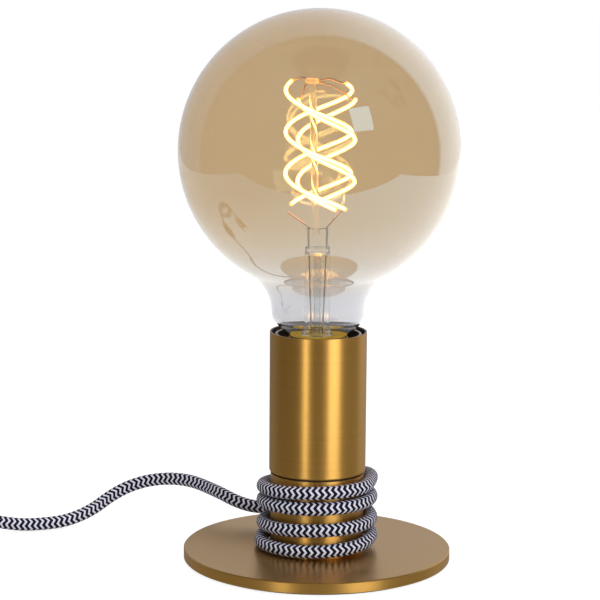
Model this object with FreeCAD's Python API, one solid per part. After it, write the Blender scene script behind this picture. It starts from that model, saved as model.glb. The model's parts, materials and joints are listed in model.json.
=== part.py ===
"""Bare bulb table lamp: a round plate, a short column wound with textile cord, a tall socket
sleeve and a large clear globe bulb. Millimetres, +Z up, z = 0 under the pad that it stands on,
the column's axis on x = y = 0, and -Y is the front."""
import FreeCAD, Part
import math
import os
from FreeCAD import Vector

# ---------------------------------------------------------------- base and column
PAD_R = 57.0
PAD_T = 1.0
PLATE_R = 60.0
PLATE_T = 5.0
PLATE_EDGE = 0.4            # chamfer round the plate's two edges
RECESS_R = 11.0             # recess under the plate for the screw and its washer
RECESS_DEPTH = 2.8
FIT = 0.05                  # radial clearance of a shaft in its hole
WASHER_R = 8.0
WASHER_T = 0.8
BASE_SCREW_R = 3.0
BASE_HEAD_R = 5.5
BASE_HEAD_T = 1.8
BASE_KEY_AF = 4.0           # hexagon socket in the screw's head
BASE_SCREW_GRIP = 7.0       # how far the screw reaches into the foot
COLUMN_R = 21.0
COLUMN_WALL = 1.5
COLUMN_H = 34.4
COLUMN_TOP_T = 2.5
FOOT_T = 1.0
FOOT_BOSS_R = 4.6
FOOT_BOSS_H = 9.0

# ---------------------------------------------------------------- socket
GAP_T = 0.7                 # dark line between column and sleeve
GAP_INSET = 1.3             # how far the black washer stands back from the column's face
SLEEVE_R = 21.65
SLEEVE_WALL = 0.9
SLEEVE_H = 63.4
SLEEVE_FLOOR_T = 2.0
SLEEVE_EDGE = 0.9           # rounding of the sleeve's lower edge
NIPPLE_R = 5.0
NIPPLE_BORE_R = 3.75
NIPPLE_BELOW = 4.6          # below the column's top disc
NIPPLE_ABOVE = 9.2          # above the sleeve's floor
NUT_AF = 14.0
NUT_T = 3.5
HOLDER_R = 19.2
HOLDER_H = 60.4
CAP_PART_H = 22.9           # height of the holder's lower half
CAP_WALL = 2.0
CAP_FLOOR_T = 3.0
CAP_LEDGE_W = 1.2           # step that the terminal block sits on
CAP_LEDGE_H = 14.9
CAP_COLLAR_R = 8.5
CAP_COLLAR_H = 10.1
SKIRT_WALL = 1.0
SKIRT_FLANGE_T = 2.0        # inner flange of the skirt that holds the block down
BLOCK_T = 12.0
BLOCK_GAP = 0.1
COLLAR_WALL = 1.0           # insulating collar round the screw shell
COLLAR_H = 28.0
SHELL_WALL = 1.0
SHELL_LIFT = 8.0            # screw shell above the terminal block
SHELL_H = 19.0
LOCK_R = 1.5
TERMINAL_X = 7.0
TERMINAL_R = 1.3
TERMINAL_HEAD_R = 2.0
TERMINAL_DEPTH = 5.0        # how far a core goes up into the block
STRIP_T = 0.5
STRIP_W = 5.0

# ---------------------------------------------------------------- E27 thread
THREAD_PITCH = 3.629
THREAD_ROUND_R = 0.95       # half-round of a crest
MALE_CENTRE_R = 12.1        # helix of the bulb's crest rounds
FEMALE_CENTRE_R = 13.3      # helix of the shell's crest rounds
FEMALE_BORE_R = 13.35
MALE_CORE_R = 12.0
MALE_TURNS = 3.5
FEMALE_TURNS = 4.0

# ---------------------------------------------------------------- bulb
GLOBE_R = 62.5
BULB_LENGTH = 171.75
GLASS_T = 0.7
NECK_R = 21.0
NECK_FILLET_R = 20.0        # between globe and neck
SHOULDER_R = 6.0            # between neck and the cone above the cap
SHOULDER_TOP = 37.4         # centre of the shoulder above the contact's tip
GLASS_FOOT_R = 12.55
GLASS_FOOT_SINK = 1.7       # how deep the glass stands in the cap
CAP_LENGTH = 26.5
CAP_COLLAR_H_BULB = 3.0
CAP_COLLAR_R_BULB = 13.2
CAP_SHELL_T = 0.9
CEMENT_LOW = 22.7           # above the contact's tip
CEMENT_TOP = 27.9
CONTACT_R = 4.8
CONTACT_H = 2.4
CONTACT_STEM_R = 1.1
INSULATOR_R = 5.2
INSULATOR_H = 6.5
STEM_X = -0.7               # the glass foot stands a little off the axis
STEM_R = 5.65
STEM_WALL = 0.9
STEM_FLARE_R = 7.0
STEM_FLARE_H = 2.6
PINCH_W = 10.6
PINCH_D = 4.6
PINCH_H = 9.5
PINCH_TOP = 74.9            # above the contact's tip
EXHAUST_R = 1.7
ROD_R = 1.5
ROD_TOP = (-3.6, 0.0, 139.0)        # above the contact's tip
ROD_FOOT_X = -1.4
BEAD_R = 3.1
BEAD_T = 2.2
WIRE_R = 0.35
BOARD_W = 13.0
BOARD_H = 11.0
BOARD_T = 1.0
FILAMENT_R = 0.9
FILAMENT_TOP = 139.6        # above the contact's tip
FILAMENT_LOW = 84.6
FILAMENT_PITCH = 36.6
# each strand: centre x, centre y, radius, angle at its top end, top end below FILAMENT_TOP
STRANDS = {
    "filament_1": (-0.7, 0.5, 14.5, 145.1, 0.0),
    "filament_2": (-0.7, 0.5, 14.5, 325.1, 0.0),
    "filament_3": (2.8, 0.9, 12.6, 4.4, 7.6),
    "filament_4": (2.8, 0.9, 12.6, 184.4, 7.6),
}

# ---------------------------------------------------------------- cord
CORD_R = 3.0
WIND_R = COLUMN_R + CORD_R + 0.3    # the winding's centreline, clear of the column
WIND_START = 140.0                  # angle where the cord meets the winding
# heights of the winding's centreline above the plate, by angle round the column
WIND_HEIGHTS = [
    (140.0, 4.1), (180.0, 3.3), (270.0, 3.7), (360.0, 5.6),
    (450.0, 9.0), (540.0, 11.2), (630.0, 13.3), (720.0, 13.8),
    (810.0, 17.6), (900.0, 21.5), (990.0, 23.2), (1080.0, 23.5),
    (1170.0, 24.6), (1260.0, 27.8), (1350.0, 30.3), (1440.0, 30.3),
]
EXIT_BEND_R = 6.5                   # the cord's bend just outside its hole
EXIT_R = 21.4                       # where that bend begins
CORD_IN = 19.0                      # straight length of cord inside the column
LEAVE_ANGLE = 45.0                  # the winding ends past its fourth turn, on the outside
LEAVE_R = 29.5
LEAVE_Z = 35.2
LEAVE_HEADING = 125.0
LEAVE_SLOPE = -20.0
BUSHING_WALL = 0.5
BUSHING_IN = 6.0
CLAMP_FROM_END = 4.5                # the clamp's middle from the cord's cut end
CLAMP_T = 0.7
CLAMP_W = 6.0
CLAMP_TAB = 5.4
CLAMP_SCREW_R = 1.45
CORE_R = 1.0
CORE_GAP = 0.25                     # from a core to the middle between the two
CORE_APART = 1.6                    # a core's axis from the lamp's axis, inside the nipple
# the free stretch, from the winding to the switch; the first point is the winding's end
RUN_POINTS = [
    (12.2, 30.5, 30.0), (5.6, 33.6, 26.3), (-1.7, 34.4, 22.0), (-10.4, 32.7, 17.6),
    (-19.7, 33.6, 14.8), (-29.0, 36.3, 14.0), (-37.6, 40.6, 15.5), (-44.7, 47.2, 17.5),
    (-50.6, 56.0, 17.8), (-57.6, 62.7, 19.0), (-65.6, 67.1, 19.5), (-74.4, 69.3, 19.0),
    (-83.4, 69.3, 17.5), (-91.9, 67.0, 14.9), (-99.2, 62.7, 11.4), (-105.1, 56.4, 7.9),
    (-111.3, 50.1, 5.7), (-119.1, 45.4, 3.9), (-128.5, 41.9, 3.5), (-138.3, 40.2, 3.4),
    (-148.0, 39.7, 4.6), (-157.4, 39.6, 6.7), (-166.5, 39.6, 7.6),
]
SWITCH_X = -166.5                   # the end of the switch that the cord comes to first
SWITCH_Y = 39.6
SWITCH_L = 60.0
SWITCH_W = 26.0
SWITCH_T = 15.0
SWITCH_NECK = 8.0
SWITCH_WALL = 1.8
ROCKER_L = 17.0
ROCKER_W = 10.0
ROCKER_ANGLE = 9.0                  # each way from level
ROCKER_GAP = 0.35
ROCKER_PIN_R = 1.0
COIL_X = -283.0
COIL_Y = 0.0
COIL_OUT_R = 39.6
COIL_STEP = 6.6                     # turn to turn, and layer to layer
COIL_TURNS = 4.5
COIL_LOW_Z = 4.0
LEAD_POINTS = [
    (-235.6, 39.7, 6.9), (-245.2, 40.1, 5.3), (-255.2, 40.2, 4.2), (-265.5, 39.9, 3.9),
]
END_POINTS = [
    (-268.0, -39.6, 10.4), (-260.0, -39.9, 9.0), (-252.0, -40.0, 7.6), (-245.0, -39.6, 7.0),
]
TIE_W = 8.0
TIE_T = 0.6
TIE_GAP = 0.15
PLUG_X = -240.0                     # where the plug's strain relief begins
PLUG_Z = 7.0
RELIEF_L = 22.0
RELIEF_END_R = 4.6
PLUG_L = 35.3
PLUG_W = 26.2
PLUG_T = 13.7
PIN_R = 2.0
PIN_L = 19.0
PIN_SPACING = 18.6

# ---------------------------------------------------------------- heights worked out from these
PLATE_TOP = PAD_T + PLATE_T
COLUMN_TOP = PLATE_TOP + COLUMN_H
SLEEVE_LOW = COLUMN_TOP + GAP_T
HOLDER_LOW = SLEEVE_LOW + SLEEVE_FLOOR_T
BLOCK_LOW = HOLDER_LOW + CAP_LEDGE_H
BLOCK_TOP = BLOCK_LOW + BLOCK_T
BLOCK_R = HOLDER_R - CAP_WALL - BLOCK_GAP
SHELL_LOW = BLOCK_TOP + SHELL_LIFT
BULB_Z = BLOCK_TOP + 5.5            # tip of the bulb's contact
GLOBE_Z = BULB_Z + BULB_LENGTH - GLOBE_R


def polar(radius, degrees, z=0.0):
    """A point at an angle round the axis."""
    return Vector(radius * math.cos(math.radians(degrees)), radius * math.sin(math.radians(degrees)), z)


def heading(degrees, slope=0.0):
    """A unit direction: an angle in plan and a slope up from level."""
    level = math.cos(math.radians(slope))
    return Vector(level * math.cos(math.radians(degrees)), level * math.sin(math.radians(degrees)),
                  math.sin(math.radians(slope)))


def disc(radius, low, high, x=0.0, y=0.0):
    return Part.makeCylinder(radius, high - low, Vector(x, y, low))


def ring(outer, inner, low, high, x=0.0, y=0.0):
    return disc(outer, low, high, x, y).cut(disc(inner, low - 1.0, high + 1.0, x, y))


def rod(start, end, radius):
    """A straight round bar from point to point."""
    along = end - start
    return Part.makeCylinder(radius, along.Length, start, along)


def block(x0, x1, y0, y1, z0, z1):
    return Part.makeBox(x1 - x0, y1 - y0, z1 - z0, Vector(x0, y0, z0))


def lathe(outline):
    """A turned solid from a closed outline of (radius, height) points."""
    points = [Vector(r, 0.0, z) for r, z in outline]
    wire = Part.makePolygon(points + [points[0]])
    return turned(Part.Face(wire))


def turned(face):
    return face.revolve(Vector(0, 0, 0), Vector(0, 0, 1), 360.0)


def hexagon(across, low, high, x=0.0, y=0.0):
    corner = across / math.sqrt(3.0)
    points = [Vector(x, y, low) + polar(corner, 60.0 * k) for k in range(6)]
    return Part.Face(Part.makePolygon(points + [points[0]])).extrude(Vector(0, 0, high - low))


def nearest_to_itself(points, spacing, diameter):
    """The least clear gap between two stretches of one tube, away from their own bend."""
    apart = int(round(2.6 * diameter / spacing))
    least = 1e9
    for i in range(0, len(points)):
        for j in range(i + apart, len(points)):
            least = min(least, (points[i] - points[j]).Length)
    return least - diameter


def swept(edges, radius):
    """A solid round tube along joined edges."""
    path = Part.Wire(edges)
    start = edges[0].valueAt(edges[0].FirstParameter)
    direction = edges[0].tangentAt(edges[0].FirstParameter)
    section = Part.Wire([Part.makeCircle(radius, start, direction)])
    tube = path.makePipeShell([section], True, False)
    return tube, path


def arc_between(start, corner, end):
    """The edge that is tangent to both legs of an equal-legged corner."""
    chord_middle = (start + end) * 0.5
    half_chord = (end - start).Length / 2.0
    rise = (corner - chord_middle).Length
    if rise < 1e-4 * half_chord:
        return Part.makeLine(start, end)
    quarter_turn = math.atan2(rise, half_chord) / 2.0
    middle = chord_middle + (corner - chord_middle) * (half_chord * math.tan(quarter_turn) / rise)
    return Part.Arc(start, middle, end).toShape()


def biarc(start, start_way, end, end_way):
    """Two arcs that join two points along their given directions."""
    span = end - start
    a = 2.0 * (start_way.dot(end_way) - 1.0)
    b = -2.0 * span.dot(start_way + end_way)
    c = span.dot(span)
    if abs(a) < 1e-9:
        leg = -c / b
    else:
        leg = (-b - math.sqrt(b * b - 4.0 * a * c)) / (2.0 * a)
    first = start + start_way * leg
    second = end - end_way * leg
    middle = (first + second) * 0.5
    return [arc_between(start, first, middle), arc_between(middle, second, end)]


def wound_tube(name, stations, radius, lead_in=0.0, lead_out=0.0):
    """One unbroken tube through (point, direction) stations, with straight ends."""
    edges = []
    if lead_in:
        point, way = stations[0]
        edges.append(Part.makeLine(point - way * lead_in, point))
    for (p0, w0), (p1, w1) in zip(stations[:-1], stations[1:]):
        edges += biarc(p0, w0, p1, w1)
    if lead_out:
        point, way = stations[-1]
        edges.append(Part.makeLine(point, point + way * lead_out))
    tube, path = swept(edges, radius)
    spacing = 1.5
    count = int(path.Length / spacing)
    points = path.discretize(Number=count)
    gap = nearest_to_itself(points, path.Length / (count - 1), 2.0 * radius)
    share = tube.Volume / (math.pi * radius ** 2 * path.Length)
    print(f"{name}: length {path.Length:.1f}, least gap {gap:.2f}, volume share {share:.4f}")
    return tube


def bent_tube(name, points, radius):
    """A tube of straight runs joined by arcs as large as the runs allow."""
    route = [Vector(*p) for p in points]
    edges = []
    radii = []
    last = route[0]
    for before, corner, after in zip(route[:-2], route[1:-1], route[2:]):
        back = before - corner
        on = after - corner
        leg = 0.45 * min(back.Length, on.Length)
        half_turn = (math.pi - back.getAngle(on)) / 2.0
        radii.append(leg / math.tan(half_turn))
        start = corner + back * (leg / back.Length)
        end = corner + on * (leg / on.Length)
        edges.append(Part.makeLine(last, start))
        edges.append(arc_between(start, corner, end))
        last = end
    edges.append(Part.makeLine(last, route[-1]))
    tube, path = swept(edges, radius)
    share = tube.Volume / (math.pi * radius ** 2 * path.Length)
    print(f"{name}: length {path.Length:.1f}, volume share {share:.4f}, radii",
          " ".join(f"{r:.0f}" for r in radii))
    return tube


def strip(outline, thick, wide):
    """A bent strip of sheet: its middle line is (x, z) points, its width runs along y."""
    solid = None
    for (x0, z0), (x1, z1) in zip(outline[:-1], outline[1:]):
        start = Vector(x0, 0.0, z0)
        way = Vector(x1 - x0, 0.0, z1 - z0)
        side = Vector(-way.z, 0.0, way.x).normalize() * (thick / 2.0)
        extra = Vector(way).normalize() * (thick / 2.0)
        corners = [start - side - extra, start + way - side + extra,
                   start + way + side + extra, start + side - extra]
        corners = [c - Vector(0, wide / 2.0, 0) for c in corners]
        piece = Part.Face(Part.makePolygon(corners + [corners[0]])).extrude(Vector(0, wide, 0))
        solid = piece if solid is None else solid.fuse(piece)
    return solid.removeSplitter()


# ---------------------------------------------------------------- base and column
def base_plate():
    edge = PLATE_EDGE
    plate = lathe([
        (0.0, PAD_T), (PLATE_R - edge, PAD_T), (PLATE_R, PAD_T + edge),
        (PLATE_R, PLATE_TOP - edge), (PLATE_R - edge, PLATE_TOP), (0.0, PLATE_TOP),
    ])
    plate = plate.cut(disc(RECESS_R, PAD_T - 1.0, PAD_T + RECESS_DEPTH))
    return plate.cut(disc(BASE_SCREW_R + FIT, 0.0, PLATE_TOP + 1.0))


def base_pad():
    return disc(PAD_R, 0.0, PAD_T)


def base_washer():
    top = PAD_T + RECESS_DEPTH
    return ring(WASHER_R, BASE_SCREW_R + FIT, top - WASHER_T, top)


def base_screw():
    head_top = PAD_T + RECESS_DEPTH - WASHER_T
    head_low = head_top - BASE_HEAD_T
    screw = disc(BASE_HEAD_R, head_low, head_top)
    screw = screw.fuse(disc(BASE_SCREW_R, head_top, PLATE_TOP + BASE_SCREW_GRIP))
    return screw.removeSplitter().cut(hexagon(BASE_KEY_AF, head_low - 1.0, head_low + BASE_HEAD_T * 0.6))


def exit_geometry():
    """Where the cord leaves the column: the point where its bend begins, and its direction there."""
    inner = WIND_R - EXIT_BEND_R
    bend = math.degrees(math.acos(
        (EXIT_R ** 2 - inner ** 2 - EXIT_BEND_R ** 2) / (2.0 * inner * EXIT_BEND_R)))
    centre = polar(inner, WIND_START)
    point = centre + polar(EXIT_BEND_R, WIND_START - bend)
    point.z = PLATE_TOP + WIND_HEIGHTS[0][1]
    return point, heading(WIND_START - bend + 90.0)


def column():
    body = ring(COLUMN_R, COLUMN_R - COLUMN_WALL, PLATE_TOP, COLUMN_TOP)
    body = body.fuse(disc(COLUMN_R, COLUMN_TOP - COLUMN_TOP_T, COLUMN_TOP)).removeSplitter()
    body = body.cut(disc(NIPPLE_R + FIT, COLUMN_TOP - 5.0, COLUMN_TOP + 1.0))
    point, way = exit_geometry()
    hole_r = CORD_R + FIT + BUSHING_WALL + FIT
    return body.cut(rod(point - way * 14.0, point + way * 8.0, hole_r))


def column_foot():
    foot = disc(COLUMN_R - COLUMN_WALL - FIT, PLATE_TOP, PLATE_TOP + FOOT_T)
    foot = foot.fuse(disc(FOOT_BOSS_R, PLATE_TOP, PLATE_TOP + FOOT_BOSS_H)).removeSplitter()
    foot = foot.cut(disc(BASE_SCREW_R + FIT, PLATE_TOP - 1.0, PLATE_TOP + FOOT_BOSS_H + 1.0))
    point, way = exit_geometry()
    notch_r = CORD_R + FIT + BUSHING_WALL + FIT
    foot = foot.cut(rod(point - way * (BUSHING_IN + FIT), point + way * 2.0, notch_r))
    x, y = clamp_screw_place()
    return foot.cut(disc(CLAMP_SCREW_R + FIT, PLATE_TOP - 1.0, PLATE_TOP + FOOT_T + 1.0, x, y))


def cord_bushing():
    point, way = exit_geometry()
    sleeve = rod(point - way * BUSHING_IN, point, CORD_R + FIT + BUSHING_WALL)
    return sleeve.cut(rod(point - way * (BUSHING_IN + 1.0), point + way, CORD_R + FIT))


def clamp_frame():
    """The clamp's middle on the cord's axis, the cord's direction, and the level way towards the axis."""
    point, way = exit_geometry()
    inward = Vector(way.y, -way.x, 0.0)
    if inward.dot(Vector(point.x, point.y, 0.0)) > 0.0:
        inward = inward * -1.0
    return point - way * (CORD_IN - CLAMP_FROM_END), way, inward


def clamp_screw_place():
    middle, way, inward = clamp_frame()
    spot = middle + inward * (CORD_R + FIT + CLAMP_T + CLAMP_TAB / 2.0)
    return spot.x, spot.y


def cord_clamp():
    middle, way, inward = clamp_frame()
    inner = CORD_R + FIT
    outer = inner + CLAMP_T
    low = PLATE_TOP + FOOT_T
    half = CLAMP_W / 2.0
    z = middle.z
    saddle = Part.makeCylinder(outer, CLAMP_W, Vector(0, -half, z), Vector(0, 1, 0))
    saddle = saddle.cut(block(-outer, outer, -half - 1, half + 1, z - outer - 1, z))
    saddle = saddle.fuse(block(-outer, -inner + 0.2, -half, half, z - 1.6, z))
    saddle = saddle.fuse(block(inner - 0.2, outer, -half, half, low, z))
    saddle = saddle.fuse(block(inner - 0.2, outer + CLAMP_TAB, -half, half, low, low + CLAMP_T))
    saddle = saddle.cut(Part.makeCylinder(inner, CLAMP_W + 2, Vector(0, -half - 1, z), Vector(0, 1, 0)))
    hole_x = inner + CLAMP_T + CLAMP_TAB / 2.0
    saddle = saddle.cut(disc(CLAMP_SCREW_R + FIT, low - 1, low + CLAMP_T + 1, hole_x, 0.0)).removeSplitter()
    turn = math.degrees(math.atan2(inward.y, inward.x))
    saddle.rotate(Vector(0, 0, 0), Vector(0, 0, 1), turn)
    saddle.translate(Vector(middle.x, middle.y, 0.0))
    return saddle


def clamp_screw():
    x, y = clamp_screw_place()
    top = PLATE_TOP + FOOT_T + CLAMP_T
    screw = disc(CLAMP_SCREW_R, PLATE_TOP + 0.1, top + 0.5, x, y)
    screw = screw.fuse(disc(2.0 * CLAMP_SCREW_R - 0.5, top, top + 1.5, x, y)).removeSplitter()
    slot = block(x - 4.0, x + 4.0, y - 0.3, y + 0.3, top + 0.8, top + 3.0)
    return screw.cut(slot)


def core_wire(side):
    """One insulated core, from the cord's cut end up through the nipple to its terminal."""
    point, way = exit_geometry()
    apart = CORE_R + CORE_GAP
    spread = Vector(way.y, -way.x, 0.0) * (side * apart)
    start = point - way * CORD_IN
    turn_up = start - way * 3.2
    nipple_low = COLUMN_TOP - COLUMN_TOP_T - NIPPLE_BELOW
    nipple_top = HOLDER_LOW + NIPPLE_ABOVE
    in_nipple = side * CORE_APART
    route = [
        start + spread,
        turn_up + spread,
        turn_up + spread * 1.25 + Vector(-0.8, -0.8, 5.0),
        Vector(turn_up.x * 0.62, turn_up.y * 0.62, PLATE_TOP + 14.0) + spread * 1.4,
        Vector(in_nipple * 0.9, in_nipple * 0.5 + 1.0, nipple_low - 3.8),
        Vector(in_nipple, 0.0, nipple_low + 5.5),
        Vector(in_nipple, 0.2, (nipple_low + nipple_top) / 2.0 + 3.0),
        Vector(in_nipple, 0.0, nipple_top + 1.9),
        Vector(side * TERMINAL_X, 0.0, nipple_top + 2.5),
        Vector(side * TERMINAL_X, 0.0, BLOCK_LOW + TERMINAL_DEPTH),
    ]
    return bent_tube("core_wire", [tuple(p) for p in route], CORE_R)


# ---------------------------------------------------------------- socket
def gap_washer():
    return ring(COLUMN_R - GAP_INSET, NIPPLE_R + FIT, COLUMN_TOP, SLEEVE_LOW)


def threaded_nipple():
    low = COLUMN_TOP - COLUMN_TOP_T - NIPPLE_BELOW
    return ring(NIPPLE_R, NIPPLE_BORE_R, low, HOLDER_LOW + NIPPLE_ABOVE)


def nipple_nut():
    high = COLUMN_TOP - COLUMN_TOP_T
    return hexagon(NUT_AF, high - NUT_T, high).cut(disc(NIPPLE_R + FIT, high - NUT_T - 1, high + 1))


def socket_sleeve():
    high = SLEEVE_LOW + SLEEVE_H
    inner = SLEEVE_R - SLEEVE_WALL
    edge = SLEEVE_EDGE
    corner = Part.Arc(
        Vector(SLEEVE_R - edge, 0, SLEEVE_LOW),
        Vector(SLEEVE_R - edge * (1 - math.sqrt(0.5)), 0, SLEEVE_LOW + edge * (1 - math.sqrt(0.5))),
        Vector(SLEEVE_R, 0, SLEEVE_LOW + edge)).toShape()
    rest = Part.makePolygon([
        Vector(SLEEVE_R, 0, SLEEVE_LOW + edge), Vector(SLEEVE_R, 0, high), Vector(inner, 0, high),
        Vector(inner, 0, SLEEVE_LOW + SLEEVE_FLOOR_T),
        Vector(NIPPLE_R + FIT, 0, SLEEVE_LOW + SLEEVE_FLOOR_T),
        Vector(NIPPLE_R + FIT, 0, SLEEVE_LOW), Vector(SLEEVE_R - edge, 0, SLEEVE_LOW)])
    return turned(Part.Face(Part.Wire([corner] + rest.Edges)))


def holder_cap():
    outer = HOLDER_R
    wall = HOLDER_R - CAP_WALL
    ledge = wall - CAP_LEDGE_W
    hole = NIPPLE_R + FIT
    low = HOLDER_LOW
    cap = lathe([
        (hole, low), (outer, low), (outer, low + CAP_PART_H), (wall, low + CAP_PART_H),
        (wall, BLOCK_LOW), (ledge, BLOCK_LOW), (ledge, low + CAP_FLOOR_T),
        (CAP_COLLAR_R, low + CAP_FLOOR_T), (CAP_COLLAR_R, low + CAP_COLLAR_H), (hole, low + CAP_COLLAR_H),
    ])
    z = low + CAP_COLLAR_H - 3.0
    return cap.cut(rod(Vector(NIPPLE_R - 1.0, 0, z), Vector(CAP_COLLAR_R + 1.0, 0, z), LOCK_R + FIT))


def nipple_lock_screw():
    z = HOLDER_LOW + CAP_COLLAR_H - 3.0
    screw = rod(Vector(NIPPLE_R + 0.05, 0, z), Vector(CAP_COLLAR_R + 0.6, 0, z), LOCK_R)
    slot = block(CAP_COLLAR_R, CAP_COLLAR_R + 2.0, -2.0, 2.0, z - 0.25, z + 0.25)
    return screw.cut(slot)


def holder_skirt():
    low = HOLDER_LOW + CAP_PART_H
    high = HOLDER_LOW + HOLDER_H
    wall = HOLDER_R - CAP_WALL
    upper = HOLDER_R - SKIRT_WALL
    flange = collar_radius() + BLOCK_GAP
    return lathe([
        (wall, low), (HOLDER_R, low), (HOLDER_R, high), (upper, high),
        (upper, BLOCK_TOP + SKIRT_FLANGE_T), (flange, BLOCK_TOP + SKIRT_FLANGE_T),
        (flange, BLOCK_TOP), (wall, BLOCK_TOP),
    ])


def shell_radius():
    return FEMALE_BORE_R + SHELL_WALL


def collar_radius():
    return shell_radius() + FIT + COLLAR_WALL


def terminal_block():
    body = disc(BLOCK_R, BLOCK_LOW, BLOCK_TOP)
    body = body.fuse(disc(collar_radius(), BLOCK_LOW + 1.0, BLOCK_TOP + COLLAR_H)).removeSplitter()
    body = body.cut(disc(shell_radius() + FIT, BLOCK_TOP, BLOCK_TOP + COLLAR_H + 1.0))
    z = BLOCK_LOW + TERMINAL_DEPTH / 2.0 + 0.5
    for side in (-1, 1):
        x = side * TERMINAL_X
        body = body.cut(disc(CORE_R + 0.1, BLOCK_LOW - 1.0, BLOCK_LOW + TERMINAL_DEPTH + 0.1, x))
        body = body.cut(rod(Vector(x, 0, z), Vector(side * (BLOCK_R + 1), 0, z), TERMINAL_HEAD_R + 0.1))
    return body


def terminal_screws():
    z = BLOCK_LOW + TERMINAL_DEPTH / 2.0 + 0.5
    screws = []
    for side in (-1, 1):
        tip = side * (TERMINAL_X + CORE_R + 0.15)
        neck = tip + side * 4.0
        head = neck + side * 1.8
        screw = rod(Vector(tip, 0, z), Vector(neck, 0, z), TERMINAL_R)
        screw = screw.fuse(rod(Vector(neck, 0, z), Vector(head, 0, z), TERMINAL_HEAD_R))
        screws.append(screw.removeSplitter())
    return Part.makeCompound(screws)


def thread_round(name, centre_r, first_z, turns):
    """The half-round crest of a right-hand thread, as a tube along its helix."""
    slope = math.degrees(math.atan2(THREAD_PITCH, 2.0 * math.pi * centre_r))
    stations = []
    for quarter in range(int(round(turns * 4)) + 1):
        angle = 90.0 * quarter
        point = polar(centre_r, angle, first_z + THREAD_PITCH * angle / 360.0)
        stations.append((point, heading(angle + 90.0, slope)))
    return wound_tube(name, stations, THREAD_ROUND_R)


def screw_shell():
    outer = shell_radius()
    shell = ring(outer, FEMALE_BORE_R, SHELL_LOW, SHELL_LOW + SHELL_H)
    first = SHELL_LOW + (SHELL_H - FEMALE_TURNS * THREAD_PITCH) / 2.0
    crest = thread_round("screw_shell thread", FEMALE_CENTRE_R, first, FEMALE_TURNS)
    return shell.fuse(crest)


def female_phase():
    """Height of the shell's crest at angle 0, below the first full turn."""
    return SHELL_LOW + (SHELL_H - FEMALE_TURNS * THREAD_PITCH) / 2.0


def side_contact():
    inner = FEMALE_BORE_R
    return block(inner + 0.1, inner + 0.1 + STRIP_T, -STRIP_W / 2, STRIP_W / 2, BLOCK_TOP, SHELL_LOW)


def centre_contact():
    top = BULB_Z - 0.3 - STRIP_T / 2.0
    low = BLOCK_TOP + STRIP_T / 2.0
    return strip([(-6.0, low), (5.5, low), (8.0, low + 1.8), (-3.5, top), (-6.0, top - 1.0)],
                 STRIP_T, STRIP_W)


# ---------------------------------------------------------------- bulb
def cap_shell():
    low = BULB_Z + 6.5
    high = BULB_Z + CAP_LENGTH
    step = high - CAP_COLLAR_H_BULB
    inner = MALE_CORE_R - CAP_SHELL_T
    collar_in = CAP_COLLAR_R_BULB - 0.5
    shell = lathe([
        (MALE_CORE_R - 2.0, low), (MALE_CORE_R, low), (MALE_CORE_R, step - 0.8),
        (CAP_COLLAR_R_BULB, step + 0.4), (CAP_COLLAR_R_BULB, high), (collar_in, high),
        (collar_in, step + 0.6), (inner, step - 0.3), (inner, low + 0.6), (MALE_CORE_R - 2.0, low + 0.6),
    ])
    first = female_phase() + THREAD_PITCH / 2.0
    while first > low + 1.5:
        first -= THREAD_PITCH
    while first < low + 1.2:
        first += THREAD_PITCH
    crest = thread_round("cap_shell thread", MALE_CENTRE_R, first, MALE_TURNS)
    return shell.fuse(crest)


def cap_insulator():
    low = BULB_Z + CONTACT_H + 0.1
    lip = BULB_Z + 6.5
    return lathe([
        (CONTACT_STEM_R + 0.1, low), (INSULATOR_R, low), (MALE_CORE_R - 2.1, lip),
        (MALE_CORE_R - 2.1, lip + 0.7), (MALE_CORE_R - CAP_SHELL_T - 0.1, lip + 0.7),
        (MALE_CORE_R - CAP_SHELL_T - 0.1, low + INSULATOR_H), (CONTACT_STEM_R + 0.1, low + INSULATOR_H),
    ])


def cap_cement():
    """The cement bed that the glass's foot and the stem stand in, round the lead-in wires."""
    low = BULB_Z + CEMENT_LOW
    top = BULB_Z + CEMENT_TOP
    foot = BULB_Z + CAP_LENGTH - GLASS_FOOT_SINK
    inner = MALE_CORE_R - CAP_SHELL_T - 0.1
    glass_in = GLASS_FOOT_R - GLASS_T - 0.05
    cone_low = glass_cone_low()
    cement = lathe([
        (0.0, low), (inner, low), (inner, foot - 1.4), (GLASS_FOOT_R, foot - 0.5),
        (GLASS_FOOT_R, foot - 0.05), (glass_in, foot - 0.05), (glass_in, cone_low),
        (glass_in + top - cone_low, top), (0.0, top),
    ])
    for path in lead_paths():
        cement = cement.cut(rod(path[0], path[1], WIRE_R + 0.03))
    return cement


def cap_contact():
    top = BULB_Z + CONTACT_H
    return lathe([
        (0.0, BULB_Z), (CONTACT_R * 0.55, BULB_Z + 0.15), (CONTACT_R * 0.9, BULB_Z + 0.8),
        (CONTACT_R, BULB_Z + 1.6), (CONTACT_R, top), (CONTACT_STEM_R, top),
        (CONTACT_STEM_R, top + INSULATOR_H - 0.5), (0.0, top + INSULATOR_H - 0.5),
    ])


def driver_board():
    low = BULB_Z + CONTACT_H + INSULATOR_H + 0.1
    board = block(-BOARD_W / 2, BOARD_W / 2, -BOARD_T / 2, BOARD_T / 2, low, low + BOARD_H)
    chip = block(-3.0, 2.0, BOARD_T / 2, BOARD_T / 2 + 1.5, low + 2.0, low + 6.0)
    bridge = block(-4.5, -0.5, -BOARD_T / 2 - 1.6, -BOARD_T / 2, low + 6.0, low + 9.5)
    can = disc(2.5, low + 1.5, low + 8.5, 3.4, -BOARD_T / 2 - 2.4)
    return board.fuse(chip).fuse(bridge).fuse(can).removeSplitter()


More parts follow.
